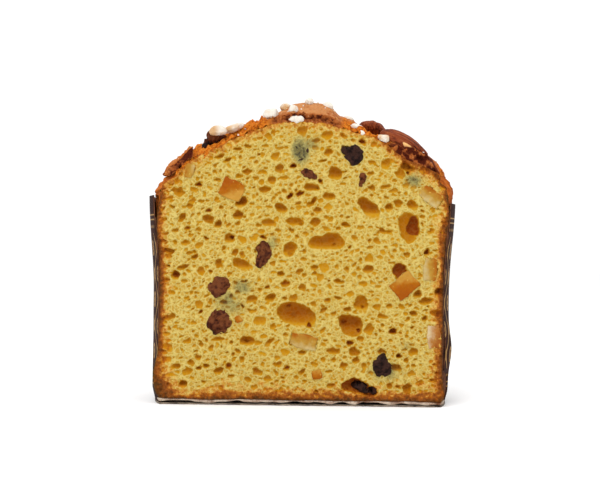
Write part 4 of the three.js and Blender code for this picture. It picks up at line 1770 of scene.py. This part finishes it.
            # Recessed patches and seams of the crumbled edge get darker tones: painted shade in the recesses,
            # with the shoulder's real burning.
            tones = 0.15 + 0.35 * puffed * at_front + 0.5 * shoulder
            tones = tones + (0.8 + 1.4 * shoulder) * rough + 0.8 * seam
            burn.append(np.clip(tones, 0, 1))
            relief.append(0.5 + 0.5 * rough)
            loops.append(total + np.arange(len(edge)))
            total += len(edge)
        for ring in np.linspace(1, 0, 9)[1:-1]:
            plan = middle + ring * (layers[self.wall_rows][:, :2] - middle)
            layers.append(np.column_stack([plan, self.form.dome(plan[:, 0], plan[:, 1]) - 0.5]))
            loops.append(total + np.arange(len(edge)))
            total += len(edge)
        hub = middle[0], middle[1], float(self.form.dome(middle[:1], middle[1:])[0]) - 0.5
        layers.append(np.array([hub]))
        walls = np.stack([np.append(loop, loop[0]) for loop in loops])
        caps = fan_faces(walls[-1], total)
        points = np.concatenate(layers)
        values = {
            "burn": np.concatenate([*burn, np.zeros(len(points) - sum(map(len, burn)))]),
            "relief": np.concatenate([*relief, np.zeros(len(points) - sum(map(len, relief)))]),
            "film": self.form.film(points[:, 0], points[:, 1]),
        }
        grid = grid_faces(index[:, 1:])
        pole = fan_faces(index[:, 1], index[0, 0])
        kept = np.ones(len(points), bool)
        kept[np.arange(1, self.headings + 1) * (self.rings + 1)] = False
        renumber = np.cumsum(kept) - 1
        faces = [renumber[group] for group in (grid, pole, grid_faces(walls), caps)]
        shell = Shell(points[kept], faces, {title: column[kept] for title, column in values.items()})
        piece = shell.piece("almond_glaze_crust", [finish])
        hand_over(piece, "glaze", "almond_glaze")
        return piece

    def build_flake(self, finish: bpy.types.Material) -> None:
        """Builds the plate of glaze that lifted off the left shoulder.

        Args:
            finish: The piece's material.
        """
        piece = refined("glaze_flake", "lifted_glaze_flake", Refining.REMESH, 0.28, 2)
        points, normals = mesh_arrays(piece.data)
        rough = noise(points, 2.6, 91, 3)
        fine = noise(points, 1.1, 92, 2)
        torn = smooth_step(-normals[:, 1], 0.3, 0.8)
        lift = 0.9 * rough + 0.6 * fine - 0.2
        tip = smooth_step(points[:, 2], points[:, 2].min() + 2.0, points[:, 2].min())
        # The sunken parts of the flake get more burn, which is painted shade in the recesses; the torn face
        # towards the cut is darker too.
        values = {
            "burn": np.clip(0.1 + 0.5 * torn - 0.5 * rough - 0.5 * fine, 0, 1),
            "relief": 0.5 + 0.6 * rough,
            "film": 0.55 * smooth_step(-normals[:, 0], 0.3, 0.8),
        }
        raised = np.array([2.4, 0.5, 1.5])
        reshape(piece, lambda p, n: p + n * lift[:, None] + tip[:, None] * raised, values)
        piece.data.materials.append(finish)
        hand_over(piece, "glaze", "glaze_flake")

    def scatter_grains(self, glaze: bpy.types.Object, finish: bpy.types.Material) -> None:
        """Strews small grains of sugar over the glaze with a Geometry Nodes tree.

        Args:
            glaze: The glaze's piece.
            finish: The piece's material.
        """
        sizes = {"Density": 14000.0, "Seed": 5, "Grain Radius": 0.55 * MM}
        tree = GeometryTree("sugar_grains", sizes, takes_mesh=True)
        normal = tree.node("GeometryNodeInputNormal")
        upward = tree.node("ShaderNodeSeparateXYZ", {}, {0: normal.outputs[0]})
        settings = {"data_type": "FLOAT", "operation": "GREATER_THAN"}
        level = tree.node("FunctionNodeCompare", settings, {0: upward.outputs["Z"], 1: 0.55})
        values = {"Mesh": tree.given("Mesh"), "Selection": level.outputs[0]}
        values |= {title: tree.given(title) for title in ("Density", "Seed")}
        settings = {"distribute_method": "RANDOM"}
        points = tree.node("GeometryNodeDistributePointsOnFaces", settings, values)
        values = {"Radius": tree.given("Grain Radius"), "Subdivisions": 2}
        grain = tree.node("GeometryNodeMeshIcoSphere", {}, values)
        settings = {"data_type": "FLOAT_VECTOR"}
        values = {0: (0.0, 0.0, 0.0), 1: (6.28, 6.28, 6.28), "Seed": 2}
        turn = tree.node("FunctionNodeRandomValue", settings, values)
        values = {0: (0.35, 0.3, 0.3), 1: (1.25, 1.0, 0.9), "Seed": 3}
        grow = tree.node("FunctionNodeRandomValue", settings, values)
        ways = {"Rotation": turn.outputs[0], "Scale": grow.outputs[0]}
        tree.place(points.outputs["Points"], grain.outputs["Mesh"], finish, ways)
        piece = tree.run(glaze.data.copy())
        reshape(piece, lambda p, n: p + n * (0.12 * noise(p, 0.8, 95, 2))[:, None])
        hand_over(piece, "pearl_sugar")


@dataclass
class Fruit:
    """Raisins and candied cubes that the cut shows."""

    form: Form

    def wrinkle(
        self, node: str, finish: bpy.types.Material, seed: int, depth: float = 0.75, growth: float = 1.0
    ) -> None:
        """Builds a raisin: deep folds with sharp ridges over the plain solid.

        Args:
            node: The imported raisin.
            finish: Its material.
            seed: Picks its folds.
            depth: How deep they are, in millimetres.
            growth: How many times as large as the solid it is.
        """
        piece = refined(node, f"wrinkled_{node}", Refining.REMESH, 0.27, 3)
        middle = mesh_arrays(piece.data)[0].mean(0)
        scale = growth * np.array(STRETCHES.get(node, (1, 1, 1)))
        reshape(piece, lambda p, n: middle + (p - middle) * scale)
        points, normals = mesh_arrays(piece.data)
        folds = 1 - 2 * np.abs(noise(points, 2.8, seed, 2))
        fine = 1 - 2 * np.abs(noise(points, 1.2, seed + 50, 2))
        swell = noise(points, 2.8, seed + 90, 2)
        lift = depth * (0.6 * folds + 0.6 * fine + 2.2 * swell - 0.4)
        moved = self.bed_in(points + normals * lift[:, None]) + np.array(NUDGES.get(node, (0, 0, 0)))
        height = np.clip(0.4 + 0.35 * folds + 0.3 * fine, 0, 1)
        reshape(piece, lambda p, n: moved, {"wrinkle": height, "crumbs": self.clinging(moved, seed)})
        piece.data.materials.append(finish)
        hand_over(piece, "raisin", node)

    def bed_in(self, points: Array) -> Array:
        """Sinks the edge of a sliced raisin behind the cut, and keeps its middle in front of it.

        Args:
            points: Points, one row each, in millimetres.

        Returns:
            The moved points.
        """
        spread = points[:, [0, 2]] - (points.min(0) + points.max(0))[[0, 2]] / 2
        reach = np.hypot(*spread.T)
        sector = ((np.arctan2(spread[:, 1], spread[:, 0]) / math.pi + 1) * 17.99).astype(int)
        widest = np.zeros(36)
        np.maximum.at(widest, sector, reach)
        out = reach / np.maximum(widest[sector], 1e-6)
        front = self.form.behind(points[:, 1], 4.0, 1.0)
        moved = points.copy()
        moved[:, 1] += 1.0 * out**5 * front
        inner = (out < 0.75) & (points[:, 1] < 0.7 - self.form.cut)
        moved[inner, 1] = np.minimum(moved[inner, 1], -0.25 - self.form.cut)
        return moved

    def clinging(self, points: Array, seed: int) -> Array:
        """How much crumb clings to each point: all round the edge of the cut, in tufts.

        Args:
            points: Points, one row each, in millimetres.
            seed: Picks its irregularities.

        Returns:
            A share for each point.
        """
        behind = self.form.behind(points[:, 1], -0.3, 0.6)
        behind = behind * self.form.behind(points[:, 1], 8.0, 5.0)
        sliced = points[:, 1].min() < 0.5 - self.form.cut
        return np.clip(behind + 1.0 * noise(points, 1.0, seed + 20, 2) - 0.1, 0, 1) * (behind > 0.02) * sliced

    def candy(
        self, node: str, finish: bpy.types.Material, seed: int, slot: str, pith: tuple[float, float]
    ) -> None:
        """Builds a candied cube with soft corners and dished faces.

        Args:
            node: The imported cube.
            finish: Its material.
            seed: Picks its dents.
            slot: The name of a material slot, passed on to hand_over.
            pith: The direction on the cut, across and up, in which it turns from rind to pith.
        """
        piece = refined(node, f"candied_{node}", Refining.REMESH, 0.25, 4)
        points, normals = mesh_arrays(piece.data)
        middle = (points.min(0) + points.max(0)) / 2
        reach = np.ptp(points, axis=0).max() / 2
        share = 0.5 + 0.8 * ((points - middle)[:, [0, 2]] @ np.array(pith)) / reach
        out = np.hypot(*(points - middle)[:, [0, 2]].T)
        dent = 0.5 * noise(points, 3.0, seed, 2) + 0.2 * noise(points, 1.2, seed + 7, 2)
        dent = dent + 0.22 * (out.max() - out) * (1 - np.abs(normals[:, 1]))
        sunk = np.array([0.0, -0.15, 0.0])
        values = {"pith": share, "crumbs": self.clinging(points + 0.35, seed)}
        reshape(piece, lambda p, n: p + n * dent[:, None] + sunk, values)
        piece.data.materials.append(finish)
        hand_over(piece, slot, node)

    def build(self) -> None:
        """Builds every piece of fruit on the cut."""
        raisin = RaisinFinish("raisin_flesh", tint(62, 22, 6), tint(24, 6, 1), tint(108, 58, 28)).material()
        dark_raisin = RaisinFinish("dark_raisin", tint(26, 10, 7), tint(8, 3, 2), tint(56, 32, 24)).material()
        peel, citron, brown_citron = (
            CandiedFinish(*row).material()
            for row in (
                ("candied_orange", tint(146, 72, 0), tint(156, 88, 1), tint(176, 128, 48)),
                ("candied_citron", tint(150, 84, 6), tint(164, 124, 44), tint(180, 158, 104)),
                ("browned_citron", tint(140, 76, 20), tint(158, 104, 46), tint(190, 170, 134)),
            )
        )
        for seed, node in enumerate(nodes_named("raisin_")):
            dark = node in ("raisin_1", "raisin_7", "raisin_9", "raisin_3")
            self.wrinkle(node, dark_raisin if dark else raisin, seed + 100)
        pith_ways = {"orange_peel_1": (0.3, -0.95), "orange_peel_2": (-0.2, 1.0), "orange_peel_3": (0.0, 0.3)}
        for seed, node in enumerate(nodes_named("orange_peel_")):
            self.candy(node, peel, seed + 130, "orange_peel", pith_ways.get(node, (0.2, 0.2)))
        citron_ways = {
            "citron_1": (-0.9, 0.0), "citron_2": (-0.9, 0.2),
            "citron_3": (-0.1, -0.9), "citron_4": (-0.4, -0.8),
        }
        for seed, node in enumerate(nodes_named("citron_")):
            finish = brown_citron if node == "citron_2" else citron
            self.candy(node, finish, seed + 150, "citron", citron_ways.get(node, (0.5, 0.0)))


# How far a topping has slid from where its solid lies: across, back and up, in millimetres.
NUDGES = {
    "baked_raisin": (2.8, -1.5, -2.5),
    "raisin_9": (2.0, 1.5, -1.5),
    "almond_1": (0.0, -1.5, -1.4),
    "pearl_sugar_01": (1.2, -0.5, 1.5),
    "pearl_sugar_08": (0.0, 0.0, -1.6),
    "pearl_sugar_09": (-0.4, -0.8, -2.2),
    "pearl_sugar_10": (-1.8, -0.5, -1.9),
}
# How much a topping is drawn out across, back and up.
STRETCHES = {"pearl_sugar_01": (1.5, 1.0, 0.95), "raisin_4": (0.82, 1.0, 1.1)}


@dataclass
class Toppings:
    """Almonds, sugar lumps and the burnt raisin on the glaze."""

    form: Form
    furrow: float = 0.42

    def almond(self, node: str, finish: bpy.types.Material, seed: int) -> None:
        """Builds one whole almond with furrows along it.

        Args:
            node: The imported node.
            finish: The piece's material.
            seed: Picks its irregularities.
        """
        piece = refined(node, f"whole_{node}", Refining.SUBDIVIDE, 3)
        points, normals = mesh_arrays(piece.data)
        middle, axes = long_axes(points)
        own = (points - middle) @ axes.T * 1.04
        skin = own * np.array([0.14, 1.0, 1.0])
        furrows = noise(skin, 1.9, seed, 3)
        swell = noise(own, 9.0, seed + 40)
        lift = self.furrow * furrows + 0.3 * swell - 0.35
        chip = np.zeros(len(points))
        if node == "almond_1":
            along = (points[:, 0] - 45.0) * 0.77 - (points[:, 2] - 111.4) * 0.64
            beside = (points[:, 0] - 45.0) * 0.64 + (points[:, 2] - 111.4) * 0.77
            chip = 1.4 * np.exp(-((along / 3.4) ** 2) - (beside / 1.2) ** 2) * (normals[:, 1] < -0.1)
        stretch = skin * MM + 0.01 * seed
        nudge = np.array(NUDGES.get(node, (0, 0, 0)))
        reshape(piece, lambda p, n: p + n * lift[:, None] + nudge, {"skin": stretch, "chip": chip})
        piece.data.materials.append(finish)
        hand_over(piece, "almond", node)

    def sugar(self, node: str, finish: bpy.types.Material, seed: int) -> None:
        """Builds one lump of pressed sugar: blunt corners, flats and a granular skin.

        Args:
            node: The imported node.
            finish: The piece's material.
            seed: Picks its irregularities.
        """
        piece = refined(node, f"lump_{node}", Refining.REMESH, 0.22, 3)
        points, _ = mesh_arrays(piece.data)
        middle = (points.min(0) + points.max(0)) / 2
        spread = points - middle
        random = np.random.default_rng(seed)
        flats = random.normal(size=(7, 3))
        flats = flats / np.linalg.norm(flats, axis=1)[:, None]
        reach = spread @ flats.T
        excess = np.maximum(reach - 0.78 * reach.max(0), 0).max(1)
        length = np.linalg.norm(spread, axis=1)
        pressed = 1 - 0.85 * excess / np.maximum(length, 1e-6)
        grains = 0.12 * noise(points, 0.9, seed, 2) + 0.15 * noise(points, 2.2, seed + 3)
        middle = middle + np.array(NUDGES.get(node, (0, 0, 0)))
        drawn = np.array(STRETCHES.get(node, (1, 1, 1))) * 1.06
        toast = smooth_step(spread[:, 0], 1.0, -1.4) * (node in STRETCHES)
        lump = middle + spread * pressed[:, None] * drawn
        reshape(piece, lambda p, n: lump + n * grains[:, None], {"toast": toast})
        piece.data.materials.append(finish)
        hand_over(piece, "pearl_sugar", node)

    def slab(self, finish: bpy.types.Material) -> None:
        """Builds the flat crust of sugar that melted into the front of the blister.

        Args:
            finish: The piece's material.
        """
        ball = bmesh.new()
        bmesh.ops.create_icosphere(ball, subdivisions=5, radius=1.0 * MM)
        mesh = bpy.data.meshes.new("melted_sugar")
        ball.to_mesh(mesh)
        ball.free()
        piece = linked("melted_sugar", mesh)
        middle = np.array([-3.2, 0.1 - self.form.cut, 120.9])
        half = np.array([3.4, 0.9, 1.1])

        def flatten(points: Array, normals: Array) -> Array:
            """Presses the ball into a slab with a lumpy edge."""
            lumps = 0.9 * noise(points * half, 1.8, 321, 2) + 0.3 * noise(points * half, 0.7, 322, 2)
            return middle + points * half + normals * lumps[:, None]

        reshape(piece, flatten, {"toast": np.zeros(len(mesh.vertices))})
        mesh.materials.append(finish)
        hand_over(piece, "pearl_sugar")

    def build(self, fruit: Fruit) -> None:
        """Builds every topping.

        Args:
            fruit: Builds the burnt raisin.
        """
        almond = AlmondFinish().material()
        for seed, node in enumerate(nodes_named("almond_")):
            if node != "almond_glaze":
                self.almond(node, almond, seed + 200)
        sugar = SugarFinish().material()
        for seed, node in enumerate(nodes_named("pearl_sugar_")):
            self.sugar(node, sugar, seed + 300)
        self.slab(sugar)
        tints = tint(26, 12, 8), tint(8, 5, 4), tint(98, 46, 18), tint(60, 26, 12)
        burnt = RaisinFinish("burnt_raisin", *tints).material()
        fruit.wrinkle("baked_raisin", burnt, 170, 2.6, 0.92)


@dataclass
class Mould:
    """The paper mould: printed wall, fluted lining, base board and liner."""

    form: Form
    columns: int = 260
    levels: int = 60
    sheet: float = 0.35
    flute_pitch: float = 1.5

    def headings(self) -> Array:
        """Directions round the wall from the right cut edge over the back to the left one."""
        start = -math.asin(self.form.cut / self.form.rim_radius)
        return np.linspace(start, math.pi - start, self.columns + 1)

    def rim(self, heading: Array) -> Array:
        """The height of the wall's torn and softened rim.

        Args:
            heading: Directions, 0 along +X and a half turn along -X.

        Returns:
            Heights.
        """
        lean = 1.1 * (1 + np.cos(heading))
        ragged = noise(spots(40 * np.cos(heading), 40 * np.sin(heading), 0.0), 9.0, 401, 3)
        return self.form.rim_height - lean + 0.45 * ragged

    def wall_point(self, heading: Array, up: Array, inset: float) -> Array:
        """A point of the wall, at a share of its height, inset from its outer face, on or behind the cut.

        Args:
            heading: Directions, 0 along +X and a half turn along -X.
            up: A share of the wall's height.
            inset: How far inside the outer face.

        Returns:
            The points, one row each.
        """
        height = up * self.rim(heading)
        radius = self.form.wall_radius(height) - inset
        flat = spots(60 * np.cos(heading), 60 * np.sin(heading), height)
        radius = radius + 0.14 * noise(flat, 24.0, 402, 2) - 0.07
        buckle = np.exp(-(((height - 24) / 9) ** 2) - ((heading + 0.2) / 0.16) ** 2)
        radius = radius + 1.6 * buckle - 1.3 * smooth_step(height, 7.0, 0.0)
        start = np.arcsin(self.form.cut / radius)
        first, last = self.headings()[[0, -1]]
        share = (heading - first) / (last - first)
        turn = -start + share * (math.pi + 2 * start)
        torn = 0.25 * noise(spots(height, radius, 0.0), 3.0, 403, 3)
        y = radius * np.sin(turn)
        at_cut = self.form.behind(y, 12.0, 0.0)
        corner = 7.0 * smooth_step(height + 6 * torn, 16.0, 11.0) * (np.cos(turn) > 0)
        return rows(radius * np.cos(turn), y + at_cut * (1.3 + 2 * torn + corner), height)

    def wall(self, printed: bpy.types.Material, plain: bpy.types.Material) -> None:
        """Builds the printed sheet as a closed shell, printed only on its outer face.

        Args:
            printed: The outer face's material.
            plain: The unprinted paper's material.
        """
        heading = self.headings()[:, None]
        up = np.linspace(0, 1, self.levels + 1)[None, :]
        heading, up = np.broadcast_arrays(heading, up)
        outer = self.wall_point(heading, up, 0.0)
        inner = self.wall_point(heading, up, self.sheet)
        index = np.arange(heading.size).reshape(heading.shape)
        back = index + heading.size
        sides = ((0, ...), (-1, ...), (..., 0), (..., -1))
        edges = [grid_faces(np.stack([index[side], back[side]])) for side in sides]
        faces = [grid_faces(index), grid_faces(back), *edges]
        around = np.tile((heading * self.form.rim_radius).ravel(), 2)
        points = np.concatenate([outer, inner])
        shell = Shell(points, faces, {"around": around, "up": points[:, 2]}, [0, 1, 1, 1, 1, 1])
        hand_over(shell.piece("printed_mould_wall", [printed, plain]), "mould_paper", "mould_wall")

    def flutes(self, plain: bpy.types.Material) -> None:
        """Lines the wall with upright flutes: a Geometry Nodes tree sets one fold after another.

        Args:
            plain: The unprinted paper's material.
        """
        inner = self.form.foot_radius - self.sheet - 0.45
        sweep = math.pi + 2 * math.asin(self.form.cut / inner) - 0.02
        sizes = {
            "Radius": inner * MM,
            "Sweep": sweep,
            "Folds": int(sweep * inner / self.flute_pitch),
            "Fold Radius": 0.24 * MM,
            "Height": (self.form.rim_height - 3.2) * MM,
        }
        tree = GeometryTree("mould_flutes", sizes)
        values = {0: tree.given("Sweep"), 1: -0.5}
        minus = tree.node("ShaderNodeMath", {"operation": "MULTIPLY"}, values)
        values = {0: minus.outputs[0], 1: math.pi / 2}
        start = tree.node("ShaderNodeMath", {"operation": "ADD"}, values)
        values = {"Resolution": tree.given("Folds"), "Radius": tree.given("Radius")}
        values |= {"Start Angle": start.outputs[0], "Sweep Angle": tree.given("Sweep")}
        arc = tree.node("GeometryNodeCurveArc", {"mode": "RADIUS"}, values)
        stations = tree.node("GeometryNodeCurveToPoints", {"mode": "EVALUATED"}, {"Curve": arc.outputs[0]})
        top = tree.node("ShaderNodeCombineXYZ", {}, {"Z": tree.given("Height")})
        values = {"Start": (0, 0, 1.0 * MM), "End": top.outputs[0]}
        line = tree.node("GeometryNodeCurvePrimitiveLine", {}, values)
        finer = tree.node("GeometryNodeResampleCurve", {}, {"Curve": line.outputs[0], "Count": 14})
        values = {"Resolution": 6, "Radius": tree.given("Fold Radius")}
        section = tree.node("GeometryNodeCurvePrimitiveCircle", {}, values)
        values = {"Curve": finer.outputs[0], "Profile Curve": section.outputs[0], "Fill Caps": True}
        fold = tree.node("GeometryNodeCurveToMesh", {}, values)
        tree.place(stations.outputs["Points"], fold.outputs[0], plain, {})
        piece = tree.run(bpy.data.meshes.new("mould_flutes"))
        reshape(piece, self.flare)
        hand_over(piece, "mould_paper")

    def flare(self, points: Array, _: Array) -> Array:
        """Opens the flutes with the wall towards the rim, and keeps them behind the cut.

        Args:
            points: Points, one row each, in millimetres.
            _: The normals, which it has no use for.

        Returns:
            The moved points.
        """
        growth = (self.form.wall_radius(points[:, 2]) - self.form.foot_radius) / self.form.foot_radius
        moved = points.copy()
        growth = growth - 1.3 * smooth_step(points[:, 2], 7.0, 0.0) / self.form.foot_radius
        moved[:, :2] *= (1 + growth)[:, None]
        moved[:, 1] = np.maximum(moved[:, 1], 0.2 - self.form.cut)
        return moved

    def sheet_round(self, radius: float) -> tuple[Array, Array]:
        """The plan of a round sheet behind the cut, on a grid of headings and shares of the way out.

        Args:
            radius: The sheet's radius.

        Returns:
            x and y.
        """
        heading = np.linspace(0, math.pi, 161)[:, None]
        share = np.linspace(0, 1, 41)[None, :]
        reach = share * self.form.ray(heading.ravel(), radius, self.form.cut)[:, None]
        return reach * np.cos(heading), reach * np.sin(heading) - self.form.cut

    def disc(self, node: str, name: str, slot: str, finish: bpy.types.Material, heights: Callable) -> None:
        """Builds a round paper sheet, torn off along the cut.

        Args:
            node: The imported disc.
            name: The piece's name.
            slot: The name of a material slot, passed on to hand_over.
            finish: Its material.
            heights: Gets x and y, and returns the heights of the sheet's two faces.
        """
        x, y = self.sheet_round(box_mm(node)[1][0] - 0.1)
        near_cut = np.exp(-(y + self.form.cut) / 2.0)
        y = y + near_cut * (0.3 + 1.0 * noise(spots(x, 0.0, 0.0), 2.4, 421, 3))
        index = np.arange(x.size).reshape(x.shape)
        index[:, 0] = index[0, 0]
        upper, lower = (rows(x, y, z) for z in heights(x, y))
        back = index + x.size
        rim = np.concatenate([index[0, :-1], index[:-1, -1], index[-1, ::-1]])
        faces = [
            grid_faces(index[:, 1:]), fan_faces(index[:, 1], index[0, 0]),
            grid_faces(back[:, 1:]), fan_faces(back[:, 1], back[0, 0]),
            grid_faces(np.stack([rim, rim + x.size])),
        ]
        points = np.concatenate([upper, lower])
        used = np.zeros(len(points), bool)
        for group in faces:
            used[group.ravel()] = True
        renumber = np.cumsum(used) - 1
        shell = Shell(points[used], [renumber[group] for group in faces])
        hand_over(shell.piece(name, [finish]), slot, node)

    def liner_heights(self, x: Array, y: Array) -> tuple[Array, Array]:
        """The liner's faces: it clings to the loaf's underside and is lifted off the board here and there.

        Args:
            x: Places across.
            y: Places back.

        Returns:
            The upper and the lower heights.
        """
        upper = self.form.underside(x, y) - 0.12
        layers = 0.9 + 1.5 * noise(spots(x, y, 0.0), 5.0, 431, 3)
        return upper, np.maximum(upper - layers, np.minimum(upper - 0.2, box_mm("mould_base")[1][2]))

    def board_heights(self, x: Array, y: Array) -> tuple[Array, Array]:
        """The base board's faces.

        Args:
            x: Places across.
            y: Places back.

        Returns:
            The upper and the lower heights.
        """
        low, high = box_mm("mould_base")
        upper = np.full(x.shape, high[2]) - 0.15 + 0.15 * noise(spots(x, y, 0.0), 6.0, 441, 2)
        return upper, np.full(x.shape, low[2])

    def build(self) -> None:
        """Builds the mould's pieces."""
        printed = PrintedPaperFinish().material()
        plain = PlainPaperFinish("mould_pulp", tint(112, 68, 42), tint(44, 22, 13)).material()
        board = PlainPaperFinish("base_board", tint(150, 134, 116), tint(24, 16, 14)).material()
        liner = PlainPaperFinish("greased_liner", tint(200, 184, 164), tint(112, 66, 36)).material()
        self.wall(printed, plain)
        self.flutes(plain)
        self.disc("mould_base", "mould_base_board", "mould_paper", board, self.board_heights)
        self.disc("base_liner", "creased_base_liner", "liner_paper", liner, self.liner_heights)


@dataclass(frozen=True)
class Studio:
    """A pale floor, white surroundings, soft light from above and in front, and a level camera."""

    camera_distance: float = 560.0
    camera_height: float = 66.0
    camera_across: float = -0.76
    tilt: float = -0.7
    lens: float = 76.49
    surroundings: float = 1.08

    def build(self) -> None:
        """Makes the floor, the light and the camera."""
        scene = bpy.context.scene
        scene.view_settings.view_transform = "Standard"
        world = bpy.data.worlds.new("white_room")
        scene.world = world
        world.use_nodes = True
        background = world.node_tree.nodes["Background"]
        background.inputs["Color"].default_value = (1, 1, 1, 1)
        background.inputs["Strength"].default_value = self.surroundings
        floor = linked("floor", bpy.data.meshes.new("floor"))
        floor.data.from_pydata([(-4, -4, 0), (4, -4, 0), (4, 4, 0), (-4, 4, 0)], [], [(0, 1, 2, 3)])
        floor_look = Look("pale_floor", Base_Color=(0.94, 0.94, 0.94, 1), Specular_IOR_Level=0.0)
        floor.data.materials.append(floor_look.finish(Roughness=0.8 + floor_look.grain(300) * 0.1))
        aim = Vector((0, 0, 0.06))
        for name, place, size, power in (
            ("key", (-0.25, -0.75, 0.95), 0.55, 6.0),
            ("top", (0.2, 0.1, 1.1), 0.7, 2.0),
        ):
            lamp = bpy.data.lights.new(name, "AREA")
            lamp.size = size
            lamp.energy = power
            holder = linked(name, lamp)
            holder.location = place
            holder.rotation_euler = (aim - Vector(place)).to_track_quat("-Z", "Y").to_euler()
        camera = bpy.data.cameras.new("camera")
        camera.lens = self.lens
        camera.sensor_width = 36.0
        camera.clip_start = 0.01
        holder = linked("camera", camera)
        holder.location = (self.camera_across * MM, -self.camera_distance * MM, self.camera_height * MM)
        holder.rotation_euler = (math.pi / 2, math.radians(self.tilt), 0)
        scene.camera = holder


def main() -> None:
    """Builds the studio, then the panettone from the mould inwards and up."""
    Studio().build()
    form = Form.from_frame()
    Mould(form).build()
    Loaf(form).build(CrumbFinish().material(), CrustFinish().material())
    glaze = Glaze(form)
    glaze_finish = GlazeFinish().material()
    crust = glaze.build(glaze_finish)
    glaze.build_flake(glaze_finish)
    glaze.scatter_grains(crust, SugarFinish().material())
    fruit = Fruit(form)
    fruit.build()
    Toppings(form).build(fruit)


if __name__ == "__main__":
    main()
